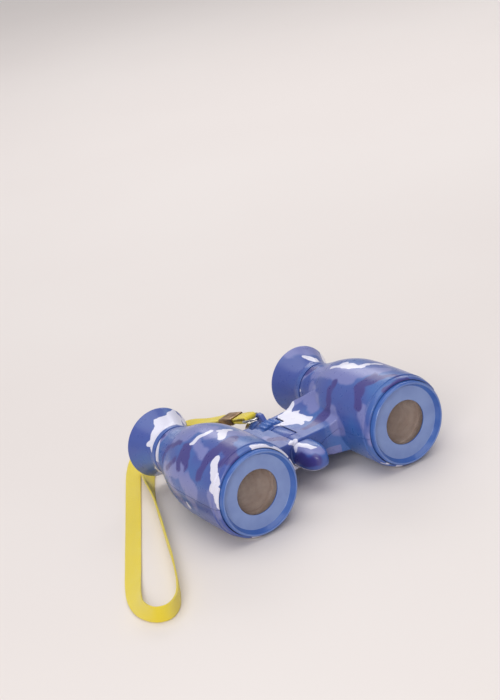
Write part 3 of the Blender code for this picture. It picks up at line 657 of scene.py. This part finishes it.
BODY = camouflage_and_painted_light_plastic()
RING = ring_plastic()
PLAIN = plain_plastic()
TUBE = tube_plastic()
LENS = lens_glass()
STEEL = brushed_metal("steel", (0.45, 0.44, 0.43), (0.66, 0.65, 0.63), 0.22)
BRONZE = brushed_metal("bronze", (0.27, 0.165, 0.085), (0.46, 0.31, 0.18), 0.34)
RIBBON = ribbon_fabric()


# ---------------------------------------- lanyard

# x, depth, z in millimetres and tilt in degrees, out from the clamp and back to it
RIBBON_ROUTE = [
    (-9.6, 83.4, 15.0, 0), (-13.8, 91.9, 13.6, 0), (-18.9, 100.7, 9.8, 0), (-25.4, 106.6, 5.0, 0),
    (-32.8, 106.0, 1.6, 0), (-41.0, 96.7, 0.7, 0), (-50.0, 82.2, 0.6, 0), (-59.6, 66.1, 0.6, 0),
    (-68.8, 50.7, 0.6, 0), (-77.7, 35.9, 0.6, 0), (-86.2, 21.6, 0.7, 2), (-93.3, 9.6, 1.1, 9),
    (-99.0, -1.7, 2.2, 29), (-102.2, -12.2, 3.3, 63), (-101.0, -20.0, 3.5, 86), (-96.2, -22.4, 3.5, 90),
    (-90.2, -18.6, 3.5, 90), (-85.0, -11.0, 3.5, 90), (-80.3, -2.0, 3.5, 90), (-74.2, 10.5, 3.5, 90),
    (-67.8, 25.0, 3.5, 90), (-60.7, 40.9, 3.5, 90), (-53.2, 58.2, 3.5, 84), (-46.2, 74.3, 3.1, 60),
    (-39.5, 87.0, 2.1, 30), (-33.0, 94.7, 1.3, 12), (-27.0, 97.6, 1.9, 4), (-21.3, 96.0, 4.6, 0),
    (-16.2, 91.0, 9.2, 0), (-11.6, 83.8, 12.9, 0),
]
RIBBON_POINTS = 310


def clip_frame(along):
    """Where the lanyard's clip is, this far back from the lug's hole: +Y along it, +X across."""
    turn = Matrix.Rotation(CLIP_YAW, 4, "Z") @ Matrix.Rotation(CLIP_PITCH, 4, "X")
    return Matrix.Translation(CLIP_START) @ turn @ Matrix.Translation((0, along, 0))


def route_line(knots, count):
    """count points along a Catmull-Rom curve through knots, as rows of an array."""
    ends = [tuple(2 * a - b for a, b in zip(knots[0], knots[1]))]
    tail = [tuple(2 * a - b for a, b in zip(knots[-1], knots[-2]))]
    knots = np.array([*ends, *knots, *tail])
    made = []
    for i in range(count):
        place = (len(knots) - 3) * i / (count - 1)
        k = min(int(place), len(knots) - 4)
        t = place - k
        p, q, r, s = knots[k : k + 4]
        made.append(0.5 * (2 * q + (r - p) * t + (2 * p - 5 * q + 4 * r - s) * t * t
                           + (3 * q - p - 3 * r + s) * t**3))
    return np.array(made)


def ribbon_line():
    """The ribbon's middle: out of the upper half of the clamp and back into the lower half."""
    route = [(x * MM, y_at(depth * MM), z * MM, math.radians(tilt)) for x, depth, z, tilt in RIBBON_ROUTE]
    inside = CRIMP_SPAN[0] + 1.5 * MM, CRIMP_SPAN[1] + 0.5 * MM
    upper, lower = (
        [(*(clip_frame(along) @ Vector((0, 0, lift))), 0.0) for along in inside]
        for lift in (0.62 * MM, -0.62 * MM)
    )
    return route_line([*upper, *route, *reversed(lower)], RIBBON_POINTS)


def ribbon_section():
    """Points round the ribbon's section, as (across, up), with rolled edges."""
    half, thin = RIBBON_WIDTH / 2, RIBBON_THICKNESS / 2
    start, steps = half - thin * 0.8, 6
    rim = [(start, thin * 0.86), (half - thin * 0.25, thin * 0.8), (half, thin * 0.2)]
    made = []
    for side in (1, -1):
        made += [(side * u, side * v) for u, v in rim]
        made += [(side * u, -side * v) for u, v in reversed(rim)]
        made += [(side * (start - 2 * start * i / steps), -side * thin * 0.8) for i in range(1, steps)]
    return made


def lofted(order, rings):
    """Faces that join rings of points, each ring taken in this order, and close both ends."""
    count = len(order)
    last = (rings - 1) * count
    faces = [
        (k + i, k + j, k + count + j, k + count + i)
        for k in range(0, last, count) for i, j in zip(order, [*order[1:], order[0]])
    ]
    return [*faces, tuple(order)[::-1], tuple(last + i for i in order)]


def swept(name, line, section):
    """section carried along line, an array of x, y, z and tilt."""
    centres = [Vector(row[:3]) for row in line]
    points, uvs, travelled = [], [], 0.0
    for i, row in enumerate(line):
        ahead = (centres[min(i + 1, len(centres) - 1)] - centres[max(i - 1, 0)]).normalized()
        side = ahead.cross(Vector((0, 0, 1))).normalized()
        turn = Matrix.Rotation(row[3], 3, ahead)
        side = turn @ side
        up = side.cross(ahead).normalized()
        points += [centres[i] + side * u + up * v for u, v in section]
        if i:
            travelled += (centres[i] - centres[i - 1]).length
        uvs += [(u, travelled) for u, _ in section]
    return mesh_object(name, points, lofted(range(len(section)), len(line)), uvs)


def strap_ring():
    """The bent wire, as one closed loop through the lug and the tab."""
    half = RIBBON_WIDTH / 2 + 0.9 * MM
    corners = [
        (-1.7 * MM, 0.25 * MM), (0, 0), (1.7 * MM, 0.25 * MM), (2.9 * MM, 1.6 * MM), (3.8 * MM, 4.2 * MM),
        (half, 5.6 * MM), (half - 0.7 * MM, WIRE_REACH), (0, WIRE_REACH + 0.1 * MM),
        (-half + 0.7 * MM, WIRE_REACH), (-half, 5.6 * MM), (-3.8 * MM, 4.2 * MM), (-2.9 * MM, 1.6 * MM),
    ]
    path = [Vector((u, v, 0)) for u, v in smooth_curve([*corners, corners[0]], 0.35 * MM)[:-1]]
    sides, radius = 14, 0.45 * MM
    points, faces = [], []
    count = len(path)
    for i, centre in enumerate(path):
        ahead = (path[(i + 1) % count] - path[i - 1]).normalized()
        side = ahead.cross(Vector((0, 0, 1))).normalized()
        for s in range(sides):
            turn = 2 * math.pi * s / sides
            out = side * radius * math.cos(turn) + Vector((0, 0, radius * math.sin(turn)))
            points.append(clip_frame(0) @ (centre + out))
    for i in range(count):
        a, b = i * sides, (i + 1) % count * sides
        faces += [(a + s, a + (s + 1) % sides, b + (s + 1) % sides, b + s) for s in range(sides)]
    return mesh_object("strap_ring", points, faces)


def strap_tab():
    """The short ribbon folded round the wire, one sheet out and back."""
    rise, end = 1.02 * MM, TAB_SPAN[1]
    fold = arc((WIRE_REACH, 0), rise, 90, 270, 15)
    upper = [(end - (end - WIRE_REACH) * i / 10, rise * (0.62 + 0.38 * min(1, i / 6))) for i in range(10)]
    path = [*upper, *fold, *[(u, -v) for u, v in reversed(upper)]]
    matrix = clip_frame(0)
    thin, half = 0.36 * MM, RIBBON_WIDTH / 2
    across = [-half, -half + 0.15 * MM, -half * 0.5, 0, half * 0.5, half - 0.15 * MM, half]
    points, uvs, travelled = [], [], 0.0
    for i, (u, v) in enumerate(path):
        before, after = path[max(i - 1, 0)], path[min(i + 1, len(path) - 1)]
        along = Vector((after[0] - before[0], after[1] - before[1])).normalized()
        normal = Vector((-along.y, along.x))
        if i:
            travelled += math.dist(path[i], path[i - 1])
        for sign in (1, -1):
            for x in across:
                out = normal * thin * sign * (0.6 if abs(x) > half - 0.1 * MM else 1)
                points.append(matrix @ Vector((x, u + out.x, v + out.y)))
                uvs.append((x, travelled))
    width = len(across)
    order = [*range(width), *range(2 * width - 1, width - 1, -1)]
    return mesh_object("strap_tab", points, lofted(order, len(path)), uvs)


def oblong(half_width, half_height, radius):
    corners = ((-1, -1), (1, -1), (1, 1), (-1, 1))
    return rounded([(u * half_width, v * half_height) for u, v in corners], radius)


def strap_crimp():
    """A flat metal clamp with two pressed grooves across its top and two across its underside."""
    half = RIBBON_WIDTH / 2 + 0.2 * MM
    outer = oblong(half + 0.5 * MM, 1.6 * MM, 0.7 * MM)
    inner = oblong(half, 1.15 * MM, 0.35 * MM)
    length = CRIMP_SPAN[1] - CRIMP_SPAN[0]
    place = clip_frame(sum(CRIMP_SPAN) / 2) @ FRONT_PLANE
    made = bevelled(prism("crimp", outer, length, place), 0.18 * MM, 2, 50)
    cuts = [prism("bore", inner, 2 * length, place)]
    for along in (-0.24, 0.24):
        for sign in (-1, 1):
            groove = rod(0.32 * MM, -half * 0.8, half * 0.8, segments=20)
            groove.data.transform(Matrix.Translation((0, -FRONT_Y, -HINGE_Z)))
            turn = Matrix.Rotation(math.radians(90), 4, "Z")
            middle = clip_frame(sum(CRIMP_SPAN) / 2 + along * length)
            groove.data.transform(middle @ Matrix.Translation((0, 0, sign * 1.72 * MM)) @ turn)
            cuts.append(groove)
    return tidied(cut(made, *cuts))


def lanyard():
    line = ribbon_line()
    ribbon = swept("ribbon", line, ribbon_section())
    shown(ribbon, "strap_ribbon", RIBBON, "left_half", ["strap"], 60)
    ring = shown(strap_ring(), "strap_wire", STEEL, "left_half", ["strap_ring"], 60)
    tab = shown(strap_tab(), "strap_loop", RIBBON, "left_half", ["strap_tab"], 60)
    crimp = shown(strap_crimp(), "strap_clamp", BRONZE, "left_half", ["strap_crimp"], 40)


lanyard()


# ---------------------------------------- shells


def wing_section(side, inset):
    """The bridge's outline seen from the front, from the hinge out into the barrel."""
    half = WING_THICKNESS / 2 - inset
    top, bottom = HINGE_Z + half, HINGE_Z - half
    start = 0 if inset == 0 else WING_ROOT
    sweep = 13 * MM + inset
    fillet = arc((WING_ROOT + 1.5 * MM, top + sweep), sweep, -90, -20, 20)
    under = arc((WING_ROOT, bottom - 22 * MM), 22 * MM, 76, 90, 6)
    end = 32 * MM - inset
    outline = [(start, top), *fillet, (end, fillet[-1][1]), (end, under[0][1]), *under, (start, bottom)]
    return [(side * x, z) for x, z in outline]


def wing_plan(side, inset):
    """The bridge's outline seen from above."""
    front, back = BRIDGE_FRONT + inset, BRIDGE_BACK - inset
    outline = [
        (0, front), (12 * MM, front), (20 * MM, front - 3 * MM), (32 * MM, front - 8 * MM),
        (32 * MM, back + 4 * MM), (26 * MM, back + 3.7 * MM), (19 * MM, back + 2.6 * MM),
        (12 * MM, back + 0.6 * MM), (0, back),
    ]
    return [(side * x, y_at(depth)) for x, depth in outline]


def wing(side, inset=0.0):
    section = prism("wing", wing_section(side, inset), 2 * LENGTH, FRONT_PLANE)
    made = crop(section, prism("plan", wing_plan(side, inset), THROUGH, Matrix.Identity(4)))
    slope = [(40, 40), (40, 29.6), (46, 26.6), (52, 23.0), (57, 20.6), (80, 20.6), (80, 40)]
    slope = [(y_at(depth * MM), height * MM - inset * 1.1) for depth, height in slope]
    return cut(made, prism("slope", slope, THROUGH, SIDE_PLANE))


def pin_hole():
    return rod(PIN_RADIUS + GAP, -0.01, WHEEL_SLOT[0] + MM)


def barrel(profile, step, side, segments):
    """A solid with this profile smoothed, in points about a step apart."""
    profile = smooth_curve([(radius * MM, depth * MM) for radius, depth in profile], step)
    ends = (0, profile[0][1]), (0, profile[-1][1])
    return plug("barrel", [ends[0], *profile, ends[1]], side * AXIS_X, segments=segments)


def half_outside(side):
    """The moulded outside of one half, blended into one skin."""
    skin = barrel(BARREL_OUTSIDE, 0.7 * MM, side, 96)
    skin = join(skin, wing(side), rod(KNUCKLE_RADIUS, BRIDGE_FRONT, BRIDGE_BACK))
    return remeshed(skin, 0.42 * MM, 7)


def half_inside(side):
    hollow = join(barrel(BARREL_INSIDE, 1.5 * MM, side, 64), wing(side, 1.7 * MM))
    for distance, depth in SCREW_PLACES:
        hollow = cut(hollow, upright(3.5 * MM, side * distance, y_at(depth), 0, 0.03))
    return hollow


def strap_lug():
    hole_y, hole_z = CLIP_START.y, CLIP_START.z
    foot = y_at(BRIDGE_BACK - 2.1 * MM)
    outline = [
        (foot, HINGE_Z + 3.5 * MM), (foot, hole_z - 0.6 * MM), (foot + 2.2 * MM, hole_z + 1.75 * MM),
        *arc((hole_y, hole_z), 1.75 * MM, 90, -70, 14),
        (y_at(BRIDGE_BACK), HINGE_Z + 5.6 * MM), (y_at(BRIDGE_BACK), HINGE_Z + 3.5 * MM),
    ]
    lug = bevelled(prism("lug", outline, 2.0 * MM, SIDE_PLANE), 0.35 * MM)
    hole = prism("hole", arc((hole_y, hole_z), 1.0 * MM, 0, -345, 23), 0.01, SIDE_PLANE)
    return cut(lug, hole)


def closed_half(side):
    """One half, hollow and cleared for the other half and the wheel, before it is parted."""
    bead, groove = (
        turned("bead", arc((radius * MM, depth * MM), size * MM, 0, 330, 11), side * AXIS_X, segments=128)
        for radius, depth, size in ((18.98, 5.6, 0.3), (19.2, 4.85, 0.42))
    )
    half = cut(join(half_outside(side), bead), groove)
    cuts = [box((-0.1, -0.1, -0.05), (0.1, 0.1, 0)), half_inside(side), pin_hole()]
    seat = HINGE_Z - KNUCKLE_RADIUS + 2.6 * MM
    for distance, depth in SCREW_PLACES:
        cuts.append(upright(2.6 * MM, side * distance, y_at(depth), -0.01, seat))
        cuts.append(upright(1.4 * MM, side * distance, y_at(depth), -0.01, HINGE_Z + 3.9 * MM))
    if side == LEFT:
        cuts += [
            rod(KNUCKLE_ROOM, LUG_FRONT - GAP, LUG_BACK + GAP),
            rod(WHEEL_RADIUS + 0.6 * MM, *WHEEL_SLOT),
            rod(SHAFT_RADIUS + GAP, WHEEL_SLOT[1] - MM, BRIDGE_BACK + MM),
        ]
        return join(cut(half, *cuts), strap_lug())
    room = box((0, -0.1, -0.05), (0.05, 0.1, KNUCKLE_RADIUS + GAP))
    room.data.transform(Matrix.Translation((0, 0, HINGE_Z)) @ Matrix.Rotation(-FOLD_ROOM, 4, "Y"))
    half = cut(half, *cuts, room)
    knuckle = bevelled(rod(KNUCKLE_RADIUS, LUG_FRONT + 0.1 * MM, LUG_BACK - 0.1 * MM, segments=96), 0.3 * MM)
    half = cut(join(half, knuckle), pin_hole())
    return cut(
        half, rod(KNUCKLE_ROOM, 0, LUG_FRONT), rod(KNUCKLE_ROOM, LUG_BACK, LENGTH),
        rod(WHEEL_RADIUS + 0.8 * MM, LUG_BACK + MM, LENGTH), rod(9.8 * MM, WHEEL_SLOT[1] - MM, LENGTH),
    )


def parting(side, above):
    """All that lies above, or below, the seam between the two mouldings."""
    sign, inner, outer = (1 if above else -1), -20 * MM, 80 * MM
    line = [(inner, HINGE_Z), (9 * MM, HINGE_Z), (18 * MM, AXIS_Z), (outer, AXIS_Z)]
    outline = [(side * x, z + sign * 0.1 * MM) for x, z in line]
    outline += [(side * x, AXIS_Z + sign * THROUGH / 2) for x in (outer, inner)]
    return prism("parting", outline, 2 * LENGTH, FRONT_PLANE)


def shells(side):
    name = SIDE_NAME[side]
    whole = closed_half(side)
    lower = bpy.data.objects.new("lower", whole.data.copy())
    SCRATCH.objects.link(lower)
    for half, above, part in ((whole, True, "top"), (lower, False, "bottom")):
        patches_with_painted_light(tidied(crop(half, parting(side, above))))
        shown(
            half, f"{name}_shell_{part}", BODY, name + "_half",
            [f"{name}_barrel_{part}"], 38,
        )


for side in (LEFT, RIGHT):
    shells(side)


# ---------------------------------------- optics


def objective_ring(side):
    """The front ring: a raised lip, a satin flat round the window and a plain sleeve behind. The flat and
    the lip's front face are marked for a paler colour, a painted reflection on the flat and a painted
    highlight on the lip.
    """
    x, name = side * AXIS_X, SIDE_NAME[side]
    window, flat, rim, inside = 9.3 * MM, 15.2 * MM, 17.5 * MM, 16.3 * MM
    outline = [
        (window, RING_RECESS), (flat, RING_RECESS), (inside, 0.45 * MM), (inside + 0.2 * MM, 0),
        (rim - 0.5 * MM, 0), (rim, 0.7 * MM), (rim, 9 * MM), (inside, 9 * MM), (inside, RING_BACK),
        (window, RING_BACK),
    ]
    made = turned("ring", rounded(outline, 0.24 * MM), x, segments=128)
    # painted reflection and highlight: the mask below gives the flat the whole paler colour and the lip's
    # front face 0.55 of it
    satin_with_painted_sheen = made.data.attributes.new("satin_with_painted_sheen", "FLOAT", "POINT")
    for vertex, value in zip(made.data.vertices, satin_with_painted_sheen.data):
        radius = math.hypot(vertex.co.x - x, vertex.co.z - AXIS_Z)
        on_flat = radius < flat + 0.02 * MM and vertex.co.y < y_at(RING_RECESS + 0.1 * MM)
        value.value = float(on_flat) or 0.55 * (vertex.co.y < y_at(0.12 * MM))
    shown(made, name + "_front_ring", RING, name + "_half", [name + "_objective_ring"], 50)


def lens(side, name, front, radius, edge, crown, body, node_name):
    """A lens whose rim is edge thick, and which bulges by crown on both faces."""
    dome = [(radius * i / 12, crown * (1 - (i / 12) ** 2)) for i in range(13)]
    profile = [(r, front - sag) for r, sag in dome]
    profile += [(r, front + edge + sag) for r, sag in reversed(dome)]
    shown(plug("lens", profile, side * AXIS_X), name, LENS, body, [node_name], 50)


def lens_tube(side):
    x, name = side * AXIS_X, SIDE_NAME[side]
    seat, inside = 9.8 * MM, 16.0 * MM
    front = WINDOW_FRONT + WINDOW_EDGE + GAP
    back = front + 1.6 * MM
    radius, wall, end = 12.3 * MM, 1.1 * MM, 49 * MM
    outline = [
        (seat, front), (inside, front), (inside, back), (radius, back), (radius, 30 * MM),
        (radius - 1.6 * MM, end), (radius - 1.6 * MM - wall, end), (radius - wall, 30 * MM),
        (radius - wall, back), (seat, back),
    ]
    made = turned("tube", rounded(outline, 0.2 * MM, 2), x)
    shown(made, name + "_inner_tube", TUBE, name + "_half", [name + "_lens_tube"], 50)


def eyecup(side):
    """The flared cup, with a rounded rim and a short straight neck."""
    name = SIDE_NAME[side]
    front, bore, throat, rim = 64.9 * MM, 8.9 * MM, 10.1 * MM, 14.7 * MM
    steps = [i / 24 for i in range(25)]
    flare = [(throat + (rim - throat) * t**1.25, front + 1.2 * MM + 10.3 * MM * t) for t in steps]
    lip = rim - 1.3 * MM
    corner = [(rim, LENGTH - 0.4 * MM), (rim - 0.12 * MM, LENGTH - 0.12 * MM), (rim - 0.4 * MM, LENGTH)]
    inner = [
        (lip + 0.25 * MM, LENGTH), (lip, LENGTH - 0.2 * MM), (lip - 0.9 * MM, 75.1 * MM),
        (lip - 2.2 * MM, 72.4 * MM), (lip - 3.4 * MM, 69.9 * MM), (bore, 69.6 * MM),
    ]
    outline = [(bore, front), (throat, front), *flare, *corner, *inner]
    outline = split_edges([*outline, outline[0]], 0.5 * MM)[:-1]
    made = turned("eyecup", outline, side * AXIS_X, segments=112)
    patches_with_painted_light(made)
    shown(made, name + "_cup", BODY, name + "_eyepiece", [name + "_eyecup"], 40)


def band(inner, outer, front, back, radius):
    """The section of a plain ring, with rounded corners."""
    return rounded([(inner, front), (outer, front), (outer, back), (inner, back)], radius)


def eyepiece(side):
    """The eyepiece's tube, its lens and the ring that keeps the lens in."""
    x, name = side * AXIS_X, SIDE_NAME[side]
    body = name + "_eyepiece"
    inside, radius, stop = 7.6 * MM, 8.6 * MM, 63.2 * MM
    outline = [
        (inside, 51 * MM), (radius, 51 * MM), (radius, 69 * MM), (inside, 69 * MM), (inside, stop),
        (inside - 1.1 * MM, stop), (inside - 1.1 * MM, stop - 1.2 * MM), (inside, stop - 1.2 * MM),
    ]
    made = turned("tube", rounded(outline, 0.15 * MM, 2), x)
    shown(made, name + "_eye_tube", PLAIN, body, [name + "_eyepiece_tube"], 50)
    lens(side, name + "_eye_glass", 63.5 * MM, 7.3 * MM, 1.4 * MM, 1.0 * MM, body, name + "_eye_lens")
    made = turned("ring", band(6.4 * MM, 7.3 * MM, 65.2 * MM, 66.7 * MM, 0.2 * MM), x)
    shown(made, name + "_lens_keeper", RING, body, [name + "_eye_lens_ring"], 50)


def focus_arm(side):
    """The eyepiece's collar and the bar that joins it to the focus bush."""
    x, name = side * AXIS_X, SIDE_NAME[side]
    front, back, bore, outer = 62.4 * MM, 64.6 * MM, 8.9 * MM, 10.5 * MM
    collar = turned("collar", band(bore, outer, front, back, 0.3 * MM), x)
    hub_front, hub_back = {LEFT: (52.6 * MM, 54.6 * MM), RIGHT: (54.9 * MM, 56.9 * MM)}[side]
    hub = turned("hub", band(3.5 * MM, 4.4 * MM, hub_front, hub_back, 0.2 * MM), 0, HINGE_Z, 64)
    outline = [
        (3.9 * MM, hub_front), (9 * MM, hub_front), (20 * MM, 59.6 * MM), (25.5 * MM, front),
        (28.2 * MM, front), (28.2 * MM, back), (24 * MM, back), (18.5 * MM, 61.4 * MM),
        (9 * MM, hub_back + 0.9 * MM * (side == LEFT)), (3.9 * MM, hub_back),
    ]
    plan = [(side * u, y_at(depth)) for u, depth in outline]
    bar = bevelled(prism("bar", plan, 3.6 * MM, Matrix.Translation((0, 0, HINGE_Z - 1.0 * MM))), 0.35 * MM)
    made = tidied(join(collar, hub, bar))
    shown(made, name + "_bar", PLAIN, name + "_eyepiece", [name + "_focus_arm"], 35)


for side in (LEFT, RIGHT):
    name = SIDE_NAME[side]
    objective_ring(side)
    lens(
        side, name + "_front_glass", WINDOW_FRONT, 11 * MM, WINDOW_EDGE, WINDOW_CROWN,
        name + "_half", name + "_objective_lens",
    )
    lens_tube(side)
    eyecup(side)
    eyepiece(side)
    focus_arm(side)


# ---------------------------------------- hinge and focus


def hinge_nose():
    """The round nose of the hinge, blended like a bullet."""
    radius, tip, back = 6.1 * MM, 9.3 * MM, BRIDGE_FRONT - GAP
    turns = [math.radians(90 * i / 40) for i in range(41)]
    bullet = [
        (radius * math.sin(turn) ** 0.8, tip + (back - tip) * 0.75 * (1 - math.cos(turn))) for turn in turns
    ]
    wall = split_edges([bullet[-1], (radius, back - 0.3 * MM)], 0.5 * MM)[1:]
    nose = plug("nose", [*bullet, *wall, (radius - 0.3 * MM, back), (0, back)], 0, HINGE_Z, 96)
    for vertex in nose.data.vertices:
        turn = math.atan2(vertex.co.z - HINGE_Z, vertex.co.x)
        squeeze = 1 - 0.13 * (0.5 + 0.5 * math.cos(4 * turn)) ** 0.8
        vertex.co.x *= squeeze
        vertex.co.z = HINGE_Z + (vertex.co.z - HINGE_Z) * squeeze
    nose = tidied(cut(nose, rod(PIN_RADIUS + GAP, 14.2 * MM, 0.03)))
    patches_with_painted_light(nose)
    shown(nose, "hinge_cap", BODY, "left_half", ["hinge_nose"], 40)


def focus_wheel():
    """The knurled wheel, with rounded teeth and a dished face each side."""
    front, back = WHEEL_SLOT[0] + GAP, WHEEL_SLOT[1] - GAP
    teeth = 24
    tooth = ((0, 1), (0.12, 1), (0.24, 0.985), (0.4, 0.94), (0.56, 0.93), (0.72, 0.94), (0.88, 0.985))
    outline = []
    for i in range(teeth):
        for share, height in tooth:
            turn, radius = 2 * math.pi * (i + share) / teeth, WHEEL_RADIUS * height
            outline.append((radius * math.cos(turn), radius * math.sin(turn)))
    place = Matrix.Translation((0, y_at((front + back) / 2), HINGE_Z)) @ FRONT_PLANE
    wheel = bevelled(prism("wheel", outline, back - front, place), 0.25 * MM, 2, 60)
    cuts = [rod(SHAFT_RADIUS + GAP, front - MM, back + MM)]
    for start, end in ((front - MM, front + 0.5 * MM), (back - 0.5 * MM, back + MM)):
        section = [(3 * MM, start), (5.6 * MM, start), (5.6 * MM, end), (3 * MM, end)]
        cuts.append(turned("dish", section, 0, HINGE_Z, 64))
    tidied(cut(wheel, *cuts))
    shown(wheel, "focus_knob", RING, "focus_wheel_body", ["focus_wheel"], 35)


def carried_over():
    """Better materials for the CAD pieces that keep their shape."""
    names = ["hinge_pin", "focus_screw", "focus_end_stop", "focus_washer", "focus_bush"]
    names += [f"{name}_shell_screw_{number}" for name in SIDE_NAME.values() for number in (1, 2)]
    for name in names:
        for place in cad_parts[name].material_slots:
            place.material = PLAIN if name == "focus_bush" else STEEL


hinge_nose()
focus_wheel()
carried_over()


# ---------------------------------------- stage


def area_light(name, place, target, size, power, colour=(1, 1, 1)):
    data = bpy.data.lights.new(name, "AREA")
    data.shape = "RECTANGLE"
    data.size, data.size_y = size
    data.energy = power
    data.color = colour
    made = bpy.data.objects.new(name, data)
    made.location = place
    made.rotation_euler = (Vector(target) - Vector(place)).to_track_quat("-Z", "Y").to_euler()
    SCENE.collection.objects.link(made)


def stage():
    bm = bmesh.new()
    bmesh.ops.create_grid(bm, x_segments=1, y_segments=1, size=3)
    floor = object_of("floor", bm)
    put_in_scene(floor)
    mat, tree, shader = new_material("pale_floor")
    cloud = clouds(tree, 3, 3)
    colour = mix_colour(tree, cloud, (0.775, 0.715, 0.685), (0.80, 0.745, 0.715))
    fill(tree, shader, Base_Color=colour, Roughness=0.75)
    floor.data.materials.append(mat)
    world = bpy.data.worlds.new("studio")
    world.use_nodes = True
    fill(world.node_tree, world.node_tree.nodes["Background"], Color=(0.93, 0.92, 0.95, 1), Strength=0.46)
    SCENE.world = world
    target = (0, 0, 0.02)
    area_light("key", (-0.1, 0.1, 1.7), target, (1.8, 1.8), 15)
    area_light("front", (-0.68, -0.72, 0.55), target, (0.5, 0.4), 4.6, (1, 0.99, 0.97))
    area_light("rim", (0.5, 0.6, 0.5), target, (0.7, 0.25), 1.4)


stage()
SCENE.view_settings.view_transform = "Standard"

SCENE.collection.children.unlink(SCRATCH)
bpy.context.view_layer.update()
